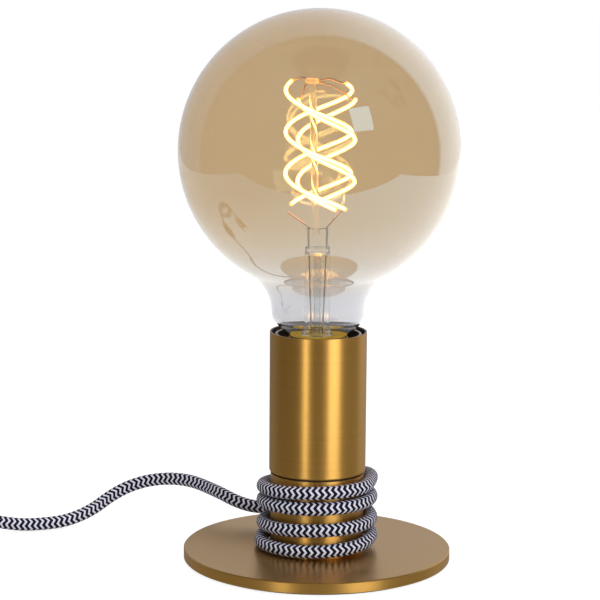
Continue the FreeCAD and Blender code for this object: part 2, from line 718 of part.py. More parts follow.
def glass_cone_low():
    """Height where the glass's inner face begins to widen above its foot."""
    diagonal = math.sqrt(0.5)
    shoulder = SHOULDER_R - GLASS_T
    top_x = NECK_R - SHOULDER_R + shoulder * diagonal
    top_z = BULB_Z + SHOULDER_TOP - shoulder * diagonal
    return top_z - (top_x - (GLASS_FOOT_R - GLASS_T))


def glass_outline(inset):
    """The bulb's outline in the plane y = 0, moved inwards by inset, as a list of edges."""
    globe = GLOBE_R - inset
    neck = NECK_R - inset
    fillet = NECK_FILLET_R + inset
    shoulder = SHOULDER_R - inset
    foot = GLASS_FOOT_R - inset
    fillet_x = NECK_R + NECK_FILLET_R
    fillet_z = GLOBE_Z - math.sqrt((GLOBE_R + NECK_FILLET_R) ** 2 - fillet_x ** 2)
    reach = GLOBE_R + NECK_FILLET_R
    touch = Vector(fillet_x * globe / reach, 0, GLOBE_Z - (GLOBE_Z - fillet_z) * globe / reach)
    shoulder_x = NECK_R - SHOULDER_R
    shoulder_z = BULB_Z + SHOULDER_TOP
    low = BULB_Z + CAP_LENGTH - GLASS_FOOT_SINK
    diagonal = math.sqrt(0.5)
    cone_top = Vector(shoulder_x + shoulder * diagonal, 0, shoulder_z - shoulder * diagonal)
    cone_low = Vector(foot, 0, cone_top.z - (cone_top.x - foot))
    top = Vector(0, 0, GLOBE_Z + globe)
    start = math.atan2(touch.z - GLOBE_Z, touch.x)
    half = (start + math.pi / 2.0) / 2.0
    side = Vector(globe * math.cos(half), 0, GLOBE_Z + globe * math.sin(half))
    to_touch = math.atan2(touch.z - fillet_z, touch.x - fillet_x)
    middle = (to_touch + math.pi) / 2.0
    fillet_middle = Vector(fillet_x + fillet * math.cos(middle), 0, fillet_z + fillet * math.sin(middle))
    turn = math.radians(-22.5)
    shoulder_middle = Vector(shoulder_x + shoulder * math.cos(turn), 0,
                             shoulder_z + shoulder * math.sin(turn))
    return [
        Part.Arc(top, side, touch).toShape(),
        Part.Arc(touch, fillet_middle, Vector(neck, 0, fillet_z)).toShape(),
        Part.makeLine(Vector(neck, 0, fillet_z), Vector(neck, 0, shoulder_z)),
        Part.Arc(Vector(neck, 0, shoulder_z), shoulder_middle, cone_top).toShape(),
        Part.makeLine(cone_top, cone_low),
        Part.makeLine(cone_low, Vector(foot, 0, low)),
    ]


def bulb_glass():
    outer = glass_outline(0.0)
    inner = glass_outline(GLASS_T)
    low = BULB_Z + CAP_LENGTH - GLASS_FOOT_SINK
    bottom = Part.makeLine(Vector(GLASS_FOOT_R, 0, low), Vector(GLASS_FOOT_R - GLASS_T, 0, low))
    pole = Part.makeLine(Vector(0, 0, GLOBE_Z + GLOBE_R - GLASS_T), Vector(0, 0, GLOBE_Z + GLOBE_R))
    return turned(Part.Face(Part.Wire(outer + [bottom] + inner[::-1] + [pole])))


def bulb_stem():
    low = BULB_Z + CEMENT_TOP + 0.05
    pinch_top = BULB_Z + PINCH_TOP
    pinch_low = pinch_top - PINCH_H
    flare = low + STEM_FLARE_H
    inner = STEM_R - STEM_WALL
    tube = lathe([
        (STEM_FLARE_R, low), (STEM_FLARE_R, low + 0.4), (STEM_R, flare),
        (STEM_R, pinch_low + 1.0), (0.0, pinch_low + 1.0), (0.0, pinch_low - 0.5),
        (inner - 1.2, pinch_low - 0.8), (inner, pinch_low - 2.0), (inner, flare),
        (STEM_FLARE_R - 1.0, low),
    ])
    pinch = block(-PINCH_W / 2, PINCH_W / 2, -PINCH_D / 2, PINCH_D / 2, pinch_low, pinch_top)
    upright = [e for e in pinch.Edges if abs(e.Vertexes[0].Z - e.Vertexes[1].Z) > 1.0]
    pinch = pinch.makeFillet(PINCH_D * 0.4, upright)
    tube = tube.fuse(pinch)
    tube = tube.fuse(ring(EXHAUST_R, EXHAUST_R - 0.6, low, pinch_low)).removeSplitter()
    tube.translate(Vector(STEM_X, 0, 0))
    for wire in lead_paths():
        for start, end in zip(wire[:-1], wire[1:]):
            tube = tube.cut(rod(start, end, WIRE_R + 0.03))
    return tube.cut(rod(rod_foot(), rod_top(), ROD_R + 0.02))


def rod_foot():
    return Vector(ROD_FOOT_X, 0, BULB_Z + PINCH_TOP - 2.0)


def rod_top():
    return Vector(ROD_TOP[0], ROD_TOP[1], BULB_Z + ROD_TOP[2])


def support_rod():
    return rod(rod_foot(), rod_top(), ROD_R)


def top_bead():
    centre = rod_top()
    bead = lathe([(0, 0), (BEAD_R - 0.5, 0), (BEAD_R, 0.5), (BEAD_R, BEAD_T - 0.5), (BEAD_R - 0.5, BEAD_T),
                  (0, BEAD_T)])
    bead.translate(centre)
    tilt = (rod_top() - rod_foot()).normalize()
    bead = bead.cut(rod(centre - tilt, centre + tilt * 0.1, ROD_R + 0.02))
    for path in anchor_paths():
        bead = bead.cut(rod(path[0], path[1], WIRE_R + 0.03))
    return bead


def lead_paths():
    """The two lead-in wires: from the board through the pinch to a strand's lower end."""
    pinch = BULB_Z + PINCH_TOP
    board = BULB_Z + CONTACT_H + INSULATOR_H + BOARD_H
    paths = []
    for x, tip in ((-3.9, Vector(-14.0, 0, BULB_Z + 82.2)), (3.9, Vector(9.9, 0, BULB_Z + 83.4))):
        foot = Vector(STEM_X + x * 0.55, 1.0, board - 4.0)
        paths.append([
            foot,
            Vector(STEM_X + x * 0.95, 0.0, pinch - PINCH_H - 3.0),
            Vector(STEM_X + x, 0.0, pinch + 0.6),
            tip,
        ])
    return paths


def wire_along(points):
    wire = None
    for start, end in zip(points[:-1], points[1:]):
        piece = rod(start, end, WIRE_R)
        wire = piece if wire is None else wire.fuse(piece)
    for point in points[1:-1]:
        wire = wire.fuse(Part.makeSphere(WIRE_R, point))
    return wire.removeSplitter()


def lead_in_wires():
    return Part.makeCompound([wire_along(path) for path in lead_paths()])


def strand_angle(name, z):
    """A strand's angle at a height: it turns as it goes down."""
    centre_x, centre_y, radius, start, below = STRANDS[name]
    top = BULB_Z + FILAMENT_TOP - below
    return start + 360.0 * (top - z) / FILAMENT_PITCH


def strand_point(name, z):
    centre_x, centre_y, radius, start, below = STRANDS[name]
    point = polar(radius, strand_angle(name, z), z)
    return point + Vector(centre_x, centre_y, 0)


def filament(name):
    centre_x, centre_y, radius, start, below = STRANDS[name]
    top = BULB_Z + FILAMENT_TOP - below
    low = BULB_Z + FILAMENT_LOW
    slope = math.degrees(math.atan2(-FILAMENT_PITCH, 2.0 * math.pi * radius))
    count = 6
    stations = []
    for k in range(count + 1):
        z = top + (low - top) * k / count
        stations.append((strand_point(name, z), heading(strand_angle(name, z) + 90.0, slope)))
    return wound_tube(name, stations, FILAMENT_R)


def anchor_paths():
    """Wires from inside the bead to the inner side of the strands' upper ends."""
    centre = rod_top() + Vector(0, 0, BEAD_T / 2.0)
    paths = []
    for name in STRANDS:
        below = STRANDS[name][4]
        z = BULB_Z + FILAMENT_TOP - below
        end = strand_point(name, z) - polar(FILAMENT_R + 0.3, strand_angle(name, z))
        way = end - centre
        way.z = 0.0
        way.normalize()
        start = centre + way * (BEAD_R * 0.5)
        paths.append([start, (start + end) * 0.5 + Vector(0, 0, 1.6), end])
    return paths


def anchor_wires():
    return Part.makeCompound([wire_along(path) for path in anchor_paths()])


# ---------------------------------------------------------------- cord
def wind_slopes():
    """Rise per degree at each of the winding's heights."""
    slopes = []
    last = len(WIND_HEIGHTS) - 1
    for k in range(last + 1):
        a0, z0 = WIND_HEIGHTS[max(k - 1, 0)]
        a1, z1 = WIND_HEIGHTS[min(k + 1, last)]
        slopes.append((z1 - z0) / (a1 - a0))
    slopes[0] = 0.0
    return slopes


def wind_stations():
    point, way = exit_geometry()
    stations = [(point, way)]
    for (angle, height), rise in zip(WIND_HEIGHTS, wind_slopes()):
        slope = math.degrees(math.atan2(rise * 180.0 / math.pi, WIND_R))
        stations.append((polar(WIND_R, angle, PLATE_TOP + height), heading(angle + 90.0, slope)))
    stations.append((polar(LEAVE_R, LEAVE_ANGLE, LEAVE_Z), heading(LEAVE_HEADING, LEAVE_SLOPE)))
    return stations


def wind_end():
    point, way = wind_stations()[-1]
    return point + way * (2.0 * CORD_R)


def cord_winding():
    return wound_tube("cord_winding", wind_stations(), CORD_R, CORD_IN, 2.0 * CORD_R)


def cord_run():
    return bent_tube("cord_run", [tuple(wind_end())] + RUN_POINTS, CORD_R)


def switch_end():
    return SWITCH_X - SWITCH_L


def cord_lead():
    start = (switch_end(), SWITCH_Y, SWITCH_T / 2.0 + 0.1)
    end = (COIL_X + 2.0 * CORD_R, COIL_Y + COIL_OUT_R, COIL_LOW_Z)
    return bent_tube("cord_lead", [start] + LEAD_POINTS + [end], CORD_R)


def coil_place(turn):
    """Point of the coil's centreline after so many turns: in along the floor, out on top."""
    half = COIL_TURNS / 2.0
    inward = min(turn, COIL_TURNS - turn)
    radius = COIL_OUT_R - COIL_STEP * inward
    climb = min(max((turn - half) / 0.5 + 0.5, 0.0), 1.0)
    eased = climb * climb * (3.0 - 2.0 * climb)
    return Vector(COIL_X, COIL_Y, 0) + polar(radius, 90.0 + 360.0 * turn, COIL_LOW_Z + COIL_STEP * eased)


def cord_coil():
    stations = []
    quarters = int(round(COIL_TURNS * 4))
    step = 0.01
    for k in range(quarters + 1):
        turn = k / 4.0
        before = coil_place(max(turn - step, 0.0))
        after = coil_place(min(turn + step, COIL_TURNS))
        way = (after - before).normalize()
        if k == 0:
            way = Vector(-1, 0, 0)
        if k == quarters:
            way = Vector(1, 0, 0)
        stations.append((coil_place(turn), way))
    return wound_tube("cord_coil", stations, CORD_R, 2.0 * CORD_R, 2.0 * CORD_R)


def coil_tie():
    """A strap round the coil's bundle on its far side."""
    inner_r = COIL_OUT_R - COIL_STEP * COIL_TURNS / 2.0 - CORD_R - 0.9
    outer_r = COIL_OUT_R + CORD_R + TIE_GAP
    low = COIL_LOW_Z - CORD_R - TIE_GAP
    high = COIL_LOW_Z + COIL_STEP + CORD_R + TIE_GAP
    hole = block(COIL_X - outer_r, COIL_X - inner_r, COIL_Y - TIE_W, COIL_Y + TIE_W, low, high)
    strap = block(COIL_X - outer_r - TIE_T, COIL_X - inner_r + TIE_T, COIL_Y - TIE_W / 2, COIL_Y + TIE_W / 2,
                  low - TIE_T, high + TIE_T)
    along = [e for e in strap.Edges if abs(e.Vertexes[0].Y - e.Vertexes[1].Y) > 1.0]
    strap = strap.makeFillet(TIE_T * 0.8, along)
    return strap.cut(hole)


def cord_end():
    start = coil_place(COIL_TURNS) + Vector(2.0 * CORD_R, 0, 0)
    end = (PLUG_X, COIL_Y - COIL_OUT_R, PLUG_Z)
    return bent_tube("cord_end", [tuple(start)] + END_POINTS + [end], CORD_R)


# ---------------------------------------------------------------- switch on the cord
def switch_outline(low, high, inset):
    """A bar with rounded ends and short necks, the length of the switch, between two heights."""
    x0 = switch_end() + SWITCH_NECK + inset
    x1 = SWITCH_X - SWITCH_NECK - inset
    half = SWITCH_W / 2.0 - inset
    body = block(x0, x1, SWITCH_Y - half, SWITCH_Y + half, low, high)
    upright = [e for e in body.Edges if abs(e.Vertexes[0].Z - e.Vertexes[1].Z) > 1.0]
    return body.makeFillet(half * 0.72, upright)


def switch_shell(low, high, floor_low, floor_high):
    """Half of the switch's case: a tray with the floor between the two floor heights."""
    middle = 0.1 + SWITCH_T / 2.0
    body = switch_outline(low, high, 0.0)
    reach = SWITCH_NECK + 4.0
    for x0 in (SWITCH_X - reach, switch_end()):
        x1 = x0 + reach
        neck = Part.makeCylinder(CORD_R + 2.2, x1 - x0, Vector(x0, SWITCH_Y, middle), Vector(1, 0, 0))
        neck = neck.common(block(x0 - 1, x1 + 1, SWITCH_Y - 8, SWITCH_Y + 8, low, high))
        body = body.fuse(neck)
    if floor_low > low:
        hollow = switch_outline(low - 1, floor_low, SWITCH_WALL)
    else:
        hollow = switch_outline(floor_high, high + 1, SWITCH_WALL)
    return body.cut(hollow).removeSplitter()


def screw_places():
    x0 = switch_end() + SWITCH_NECK + 7.5
    x1 = SWITCH_X - SWITCH_NECK - 7.5
    return [(x0, SWITCH_Y - 7.0), (x1, SWITCH_Y + 7.0)]


def switch_base():
    low = 0.1
    middle = low + SWITCH_T / 2.0
    shell = switch_shell(low, middle, low, low + SWITCH_WALL)
    for x, y in screw_places():
        shell = shell.fuse(disc(3.0, low, middle, x, y))
        shell = shell.cut(disc(1.5 + FIT, low - 1, middle + 1, x, y))
        shell = shell.cut(disc(2.9, low - 1, low + 1.6, x, y))
    return shell.removeSplitter()


def rocker_middle():
    return Vector(SWITCH_X - SWITCH_L / 2.0, SWITCH_Y, 0.1 + SWITCH_T - 1.6)


def switch_cover():
    low = 0.1 + SWITCH_T / 2.0
    high = 0.1 + SWITCH_T
    shell = switch_shell(low, high, high - SWITCH_WALL, high)
    pivot = rocker_middle()
    length = ROCKER_L / 2.0 + ROCKER_GAP
    width = ROCKER_W / 2.0 + ROCKER_GAP
    window = block(pivot.x - length, pivot.x + length, SWITCH_Y - width, SWITCH_Y + width, low, high + 1)
    shell = shell.cut(window)
    for side in (-1, 1):
        y0 = SWITCH_Y + side * width
        y1 = y0 + side * 1.6
        ear_top = high - SWITCH_WALL + 0.2
        ear = block(pivot.x - 2.5, pivot.x + 2.5, min(y0, y1), max(y0, y1), pivot.z - 2.2, ear_top)
        shell = shell.fuse(ear)
    shell = shell.cut(rod(pivot - Vector(0, 9, 0), pivot + Vector(0, 9, 0), ROCKER_PIN_R + FIT))
    for x, y in screw_places():
        shell = shell.fuse(disc(3.0, low, high - 0.5, x, y)).cut(disc(1.5 + FIT, low - 1, high - 2.0, x, y))
    return shell.removeSplitter()


def switch_rocker():
    """The rocker lies pressed down at its end towards the lamp: switched on."""
    pivot = rocker_middle()
    half_l = ROCKER_L / 2.0
    half_w = ROCKER_W / 2.0
    top = pivot.z + 3.4
    body = Part.makeCylinder(26.0, ROCKER_W, Vector(pivot.x, SWITCH_Y - half_w, top + 24.4), Vector(0, 1, 0))
    slab = block(pivot.x - half_l + 0.5, pivot.x + half_l - 0.5, SWITCH_Y - half_w, SWITCH_Y + half_w,
                 pivot.z - 1.0, top)
    rocker = slab.cut(body)
    hub = Part.makeCylinder(2.2, ROCKER_W, Vector(pivot.x, SWITCH_Y - half_w, pivot.z), Vector(0, 1, 0))
    rocker = rocker.fuse(hub)
    rocker = rocker.cut(rod(pivot - Vector(0, 9, 0), pivot + Vector(0, 9, 0), ROCKER_PIN_R + FIT))
    rocker.rotate(pivot, Vector(0, 1, 0), ROCKER_ANGLE)
    return rocker.removeSplitter()


def rocker_pin():
    pivot = rocker_middle()
    reach = ROCKER_W / 2.0 + ROCKER_GAP + 1.5
    return rod(pivot - Vector(0, reach, 0), pivot + Vector(0, reach, 0), ROCKER_PIN_R)


def switch_contacts():
    """Two fixed contacts on the case's floor, clear of the rocker."""
    low = 0.1 + SWITCH_WALL
    pivot = rocker_middle()
    pieces = []
    for side in (-1, 1):
        x = pivot.x + side * 11.0
        post = block(x - 2.0, x + 2.0, SWITCH_Y - 4.0, SWITCH_Y + 4.0, low, low + 3.0)
        tongue = block(min(x, x - side * 6.0), max(x, x - side * 6.0), SWITCH_Y - 2.0, SWITCH_Y + 2.0,
                       low + 3.0, low + 3.6)
        pieces.append(post.fuse(tongue).removeSplitter())
    return Part.makeCompound(pieces)


def switch_screws():
    low = 0.1
    pieces = []
    for x, y in screw_places():
        screw = disc(2.7, low + 0.2, low + 1.6, x, y).fuse(disc(1.5, low + 1.6, low + SWITCH_T - 3.0, x, y))
        slot = block(x - 3.5, x + 3.5, y - 0.35, y + 0.35, low, low + 0.8)
        pieces.append(screw.removeSplitter().cut(slot))
    return Part.makeCompound(pieces)


# ---------------------------------------------------------------- plug
def plug_relief():
    start = Vector(PLUG_X, COIL_Y - COIL_OUT_R, PLUG_Z)
    return Part.makeCone(CORD_R + 0.7, RELIEF_END_R, RELIEF_L, start, Vector(1, 0, 0))


def plug_body():
    """Flat two-pin plug, its broad faces level."""
    x0 = PLUG_X + RELIEF_L
    y = COIL_Y - COIL_OUT_R
    half_w = PLUG_W / 2.0
    half_t = PLUG_T / 2.0
    waist = PLUG_W * 0.30
    points = [
        Vector(x0, y - waist, 0), Vector(x0 + PLUG_L * 0.45, y - half_w, 0),
        Vector(x0 + PLUG_L, y - half_w, 0), Vector(x0 + PLUG_L, y + half_w, 0),
        Vector(x0 + PLUG_L * 0.45, y + half_w, 0), Vector(x0, y + waist, 0),
    ]
    face = Part.Face(Part.makePolygon(points + [points[0]]))
    body = face.extrude(Vector(0, 0, PLUG_T))
    body.translate(Vector(0, 0, PLUG_Z - half_t))
    body = body.makeFillet(2.2, body.Edges)
    for side in (-1, 1):
        pin_y = y + side * PIN_SPACING / 2.0
        start = Vector(x0 + PLUG_L - 8.0, pin_y, PLUG_Z)
        body = body.cut(rod(start, start + Vector(9.0, 0, 0), PIN_R + 0.02))
    return body


def plug_pins():
    x0 = PLUG_X + RELIEF_L + PLUG_L
    pins = []
    for side in (-1, 1):
        y = COIL_Y - COIL_OUT_R + side * PIN_SPACING / 2.0
        pin = rod(Vector(x0 - 8.0, y, PLUG_Z), Vector(x0 + PIN_L - PIN_R, y, PLUG_Z), PIN_R)
        pin = pin.fuse(Part.makeSphere(PIN_R, Vector(x0 + PIN_L - PIN_R, y, PLUG_Z)))
        pins.append(pin.removeSplitter())
    return Part.makeCompound(pins)


PIECES = {
    "base_plate": base_plate,
    "base_pad": base_pad,
    "base_washer": base_washer,
    "base_screw": base_screw,
    "column": column,
    "column_foot": column_foot,
    "cord_bushing": cord_bushing,
    "cord_clamp": cord_clamp,
    "clamp_screw": clamp_screw,
    "live_wire": lambda: core_wire(1),
    "neutral_wire": lambda: core_wire(-1),
    "gap_washer": gap_washer,
    "threaded_nipple": threaded_nipple,
    "nipple_nut": nipple_nut,
    "socket_sleeve": socket_sleeve,
    "holder_cap": holder_cap,
    "nipple_lock_screw": nipple_lock_screw,
    "holder_skirt": holder_skirt,
    "terminal_block": terminal_block,
    "terminal_screws": terminal_screws,
    "screw_shell": screw_shell,
    "side_contact": side_contact,
    "centre_contact": centre_contact,
    "cap_shell": cap_shell,
    "cap_insulator": cap_insulator,
    "cap_cement": cap_cement,
    "cap_contact": cap_contact,
    "driver_board": driver_board,
    "bulb_glass": bulb_glass,
    "bulb_stem": bulb_stem,
    "support_rod": support_rod,
    "top_bead": top_bead,
    "lead_in_wires": lead_in_wires,
    "anchor_wires": anchor_wires,
    "filament_1": lambda: filament("filament_1"),
    "filament_2": lambda: filament("filament_2"),
    "filament_3": lambda: filament("filament_3"),
    "filament_4": lambda: filament("filament_4"),
    "cord_winding": cord_winding,
    "cord_run": cord_run,
    "switch_base": switch_base,
    "switch_cover": switch_cover,
    "switch_rocker": switch_rocker,
    "rocker_pin": rocker_pin,
    "switch_contacts": switch_contacts,
    "switch_screws": switch_screws,
    "cord_lead": cord_lead,
    "cord_coil": cord_coil,
    "coil_tie": coil_tie,
    "cord_end": cord_end,
    "plug_relief": plug_relief,
    "plug_body": plug_body,
    "plug_pins": plug_pins,
}

os.makedirs("parts", exist_ok=True)
for node, make in PIECES.items():
    shape = make()
    solids = len(shape.Solids)
    state = "valid" if shape.isValid() else "NOT VALID"
    print(f"{node}: {state}, {solids} solid(s), volume {shape.Volume:.1f}")
    shape.exportStep(f"parts/{node}.step")
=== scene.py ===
import json
import math

import bpy
from mathutils import Matrix, Vector


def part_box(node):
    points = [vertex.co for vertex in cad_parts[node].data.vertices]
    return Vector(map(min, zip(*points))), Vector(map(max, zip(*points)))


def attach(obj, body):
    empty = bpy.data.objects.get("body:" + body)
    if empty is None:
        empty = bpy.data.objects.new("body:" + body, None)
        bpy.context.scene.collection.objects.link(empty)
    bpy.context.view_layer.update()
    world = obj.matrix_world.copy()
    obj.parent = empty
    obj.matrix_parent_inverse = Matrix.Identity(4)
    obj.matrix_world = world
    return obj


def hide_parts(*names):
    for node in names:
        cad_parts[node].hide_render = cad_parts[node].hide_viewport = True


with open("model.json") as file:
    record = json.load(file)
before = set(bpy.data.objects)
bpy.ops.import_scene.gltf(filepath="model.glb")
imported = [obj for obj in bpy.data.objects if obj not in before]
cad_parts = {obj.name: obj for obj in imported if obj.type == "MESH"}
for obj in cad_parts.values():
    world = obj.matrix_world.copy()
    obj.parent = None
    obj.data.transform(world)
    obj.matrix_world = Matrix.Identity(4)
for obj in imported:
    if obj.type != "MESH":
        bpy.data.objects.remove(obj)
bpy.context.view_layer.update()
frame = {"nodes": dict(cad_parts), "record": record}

# The lamp as it looks: finishes for the CAD pieces, the globe, the strands' bright cores, the two
# braided cords, and the studio round them. -Y is the front. Sizes in capitals are in millimetres
# and angles in degrees, unless a comment says otherwise.
node = frame["nodes"]
MM = 0.001

# ------------------------------------------------------------------ sizes shared with the solids
GLOBE_R = 62.5
GLOBE_Z = 184.75           # the globe's middle
CONTACT_Z = 75.5           # foot of the cap, which the bulb's heights count from
NECK_R = 21.0
NECK_FILLET_R = 20.0       # hollow curve between the globe and its neck
SHOULDER_R = 6.0           # rounding where the neck turns in to the cap
SHOULDER_Z = CONTACT_Z + 37.4
GLASS_FOOT_R = 12.55       # the glass inside the cap
GLASS_FOOT_Z = CONTACT_Z + 24.8
GLASS_T = 0.7
PLATE_TOP = 6.0
PLATE_RIM_R = 58.0         # upright faces of the plate beyond this radius are its rim
SLEEVE_SHADE_R = 21.3       # painted shade: the sleeve is black within this radius, in its bore, not on its outside
# the black of the painted shade in the sleeve's bore
BORE_SHADE_BLACK = (0.010, 0.010, 0.010)

bpy.context.scene.view_settings.view_transform = "Standard"


# ------------------------------------------------------------------ small helpers
def clear_selection():
    if bpy.context.object and bpy.context.object.mode != "OBJECT":
        bpy.ops.object.mode_set(mode="OBJECT")
    bpy.ops.object.select_all(action="DESELECT")


def active(piece):
    clear_selection()
    piece.select_set(True)
    bpy.context.view_layer.objects.active = piece


def settle(piece):
    """Puts the piece's place into its mesh."""
    active(piece)
    bpy.ops.object.transform_apply(location=True, rotation=True, scale=True)


def smooth(piece, degrees):
    active(piece)
    bpy.ops.object.shade_smooth_by_angle(angle=math.radians(degrees))


def dress(piece, material):
    piece.data.materials.clear()
    piece.data.materials.append(material)


# ------------------------------------------------------------------ shader nodes
def feed(tree, socket, value):
    """Links a socket to an output, or sets it to a number, a vector or a colour without alpha."""
    if isinstance(value, bpy.types.NodeSocket):
        tree.links.new(value, socket)
    elif socket.type == "RGBA":
        socket.default_value = (*value, 1.0)
    else:
        socket.default_value = value


def add(tree, kind, sockets=None, **settings):
    """Adds a node with its settings, then feeds its sockets by name."""
    made = tree.nodes.new(kind)
    for key, value in settings.items():
        setattr(made, key, value)
    for key, value in (sockets or {}).items():
        feed(tree, made.inputs[key], value)
    return made


def new_material(name, sockets):
    """A material with its tree and its Principled shader, whose sockets are fed by name."""
    material = bpy.data.materials.new(name)
    material.use_nodes = True
    tree = material.node_tree
    shader = tree.nodes["Principled BSDF"]
    for key, value in sockets.items():
        feed(tree, shader.inputs[key], value)
    return material, tree, shader


def maths(tree, operation, *values):
    made = add(tree, "ShaderNodeMath", operation=operation)
    for socket, value in zip(made.inputs, values):
        feed(tree, socket, value)
    return made.outputs[0]


def map_range(tree, value, low, high, to_low=0.0, to_high=1.0, kind="LINEAR"):
    """Carries a value over from one range to another, and stops at the ends."""
    return add(tree, "ShaderNodeMapRange", {
        "Value": value, "From Min": low, "From Max": high, "To Min": to_low, "To Max": to_high,
    }, interpolation_type=kind).outputs["Result"]


def ramp(tree, factor, stops):
    """Colours along a factor, from stops of (place, colour)."""
    made = add(tree, "ShaderNodeValToRGB", {"Fac": factor})
    band = made.color_ramp
    while len(band.elements) < len(stops):
        band.elements.new(0.5)
    for element, (place, colour) in zip(band.elements, stops):
        element.position = place
        element.color = (*colour, 1.0)
    return made.outputs["Color"]


def mix(tree, factor, first, second):
    """The first colour where the factor is 0, and the second where it is 1."""
    return add(tree, "ShaderNodeMix", {"Factor": factor, "A": first, "B": second},
               data_type="RGBA").outputs["Result"]


def mix_surface(tree, factor, first, second):
    """Makes two shaders, mixed by the factor, the surface of the material."""
    both = add(tree, "ShaderNodeMixShader")
    for socket, value in zip(both.inputs, (factor, first, second)):
        feed(tree, socket, value)
    feed(tree, tree.nodes["Material Output"].inputs["Surface"], both.outputs[0])


def relief_into(tree, shader, height, strength, distance):
    bump = add(tree, "ShaderNodeBump",
               {"Height": height, "Strength": strength, "Distance": distance})
    feed(tree, shader.inputs["Normal"], bump.outputs["Normal"])


def object_place(tree):
    return add(tree, "ShaderNodeTexCoord").outputs["Object"]


def axes(tree, vector):
    """The X, Y and Z of a vector."""
    return add(tree, "ShaderNodeSeparateXYZ", {"Vector": vector}).outputs


def radius_squared(tree, x, y):
    return maths(tree, "ADD", maths(tree, "MULTIPLY", x, x), maths(tree, "MULTIPLY", y, y))


# ------------------------------------------------------------------ brass
TUBE_GRAIN = (18.0, 18.0, 5200.0)      # the noise's scale per metre along x, y and z
PLATE_GRAIN = (4200.0, 1.5, 1700.0)    # per metre outwards, per radian round and per metre up
GRAIN_BUMP = 0.25
MASK_LOW, MASK_HIGH = 0.5, 1.2         # where the grain's mask lies
MASK_SHIFT = 0.35                      # brings the mask within a ramp's 0 to 1
ROUND_THE_AXIS = 0.25                  # turn of the shader's anisotropy


def fine_grain_group():
    """Fine lines of brushed metal: a height, and a mask that varies the roughness."""
    group = bpy.data.node_groups.new("brushed_grain", "ShaderNodeTree")
    for name, way, kind in (("Along", "INPUT", "NodeSocketVector"),
                            ("Height", "OUTPUT", "NodeSocketFloat"),
                            ("Mask", "OUTPUT", "NodeSocketFloat")):
        group.interface.new_socket(name=name, in_out=way, socket_type=kind)
    along = add(group, "NodeGroupInput").outputs["Along"]
    fine = add(group, "ShaderNodeTexNoise",
               {"Vector": along, "Scale": 1.0, "Detail": 3.0, "Roughness": 0.65}).outputs["Fac"]
    broad = add(group, "ShaderNodeTexNoise",
                {"Vector": along, "Scale": 0.12, "Detail": 2.0}).outputs["Fac"]
    add(group, "NodeGroupOutput",
        {"Height": fine, "Mask": maths(group, "MULTIPLY_ADD", fine, 0.7, broad)})
    return group


brushed_grain = fine_grain_group()


def grain_into(tree, shader, along, height, rough, tints):
    """Gives a shader the grain: its relief in metres, its roughness range and its two tints."""
    grain = add(tree, "ShaderNodeGroup", {"Along": along}, node_tree=brushed_grain)
    mask = grain.outputs["Mask"]
    feed(tree, shader.inputs["Roughness"], map_range(tree, mask, MASK_LOW, MASK_HIGH, *rough))
    places = (MASK_LOW - MASK_SHIFT, MASK_HIGH - MASK_SHIFT)
    tint = ramp(tree, maths(tree, "SUBTRACT", mask, MASK_SHIFT), list(zip(places, tints)))
    feed(tree, shader.inputs["Base Color"], tint)
    relief_into(tree, shader, grain.outputs["Height"], GRAIN_BUMP, height)


def round_metal(name, anisotropic):
    """Bare metal whose highlights draw out round the upright axis."""
    material, tree, shader = new_material(name, {
        "Metallic": 1.0, "Anisotropic": anisotropic, "Anisotropic Rotation": ROUND_THE_AXIS})
    tangent = add(tree, "ShaderNodeTangent", direction_type="RADIAL", axis="Z")
    feed(tree, shader.inputs["Tangent"], tangent.outputs["Tangent"])
    return material, tree, shader


def tube_brass(name, shade_within=0.0):
    """Brass brushed round the tube. Where a radius is given, everything within it is painted
    black and bare of metal: painted shade in the bore.
    """
    material, tree, shader = round_metal(name, 0.8)
    here = object_place(tree)
    stretch = add(tree, "ShaderNodeMapping", {"Vector": here, "Scale": TUBE_GRAIN})
    grain_into(tree, shader, stretch.outputs["Vector"], 0.00002, (0.35, 0.42),
               ((0.76, 0.425, 0.10), (0.86, 0.49, 0.125)))
    # Within the radius the brass turns black and bare of metal: painted shade inside the bore.
    if shade_within:
        x, y, _ = axes(tree, here)
        bare = maths(tree, "GREATER_THAN", radius_squared(tree, x, y), (shade_within * MM) ** 2)
        brass = shader.inputs["Base Color"].links[0].from_socket
        feed(tree, shader.inputs["Base Color"], mix(tree, bare, BORE_SHADE_BLACK, brass))
        feed(tree, shader.inputs["Metallic"], bare)
    return material


def plate_brass():
    """Brass turned on the lathe: fine rings round the plate's middle."""
    material, tree, shader = round_metal("plate_brass", 0.12)
    x, y, z = axes(tree, object_place(tree))
    outwards = maths(tree, "SQRT", radius_squared(tree, x, y))
    round_it = maths(tree, "ARCTAN2", y, x)
    rings = add(tree, "ShaderNodeCombineXYZ", {
        axis: maths(tree, "MULTIPLY", value, lines)
        for axis, value, lines in zip("XYZ", (outwards, round_it, z), PLATE_GRAIN)})
    grain_into(tree, shader, rings.outputs["Vector"], 0.000003, (0.29, 0.33),
               ((0.77, 0.455, 0.12), (0.81, 0.485, 0.135)))
    return material


# ------------------------------------------------------------------ the other finishes
COAT_LOW_Z, COAT_HIGH_Z = 100.0, 160.0     # the globe's amber coat comes in between these heights
RIM_HIGHLIGHT_H = 0.3                           # height of the painted highlight at the rim of the lampholder's skirt
PHENOLIC_BLACK = (0.012, 0.012, 0.013)
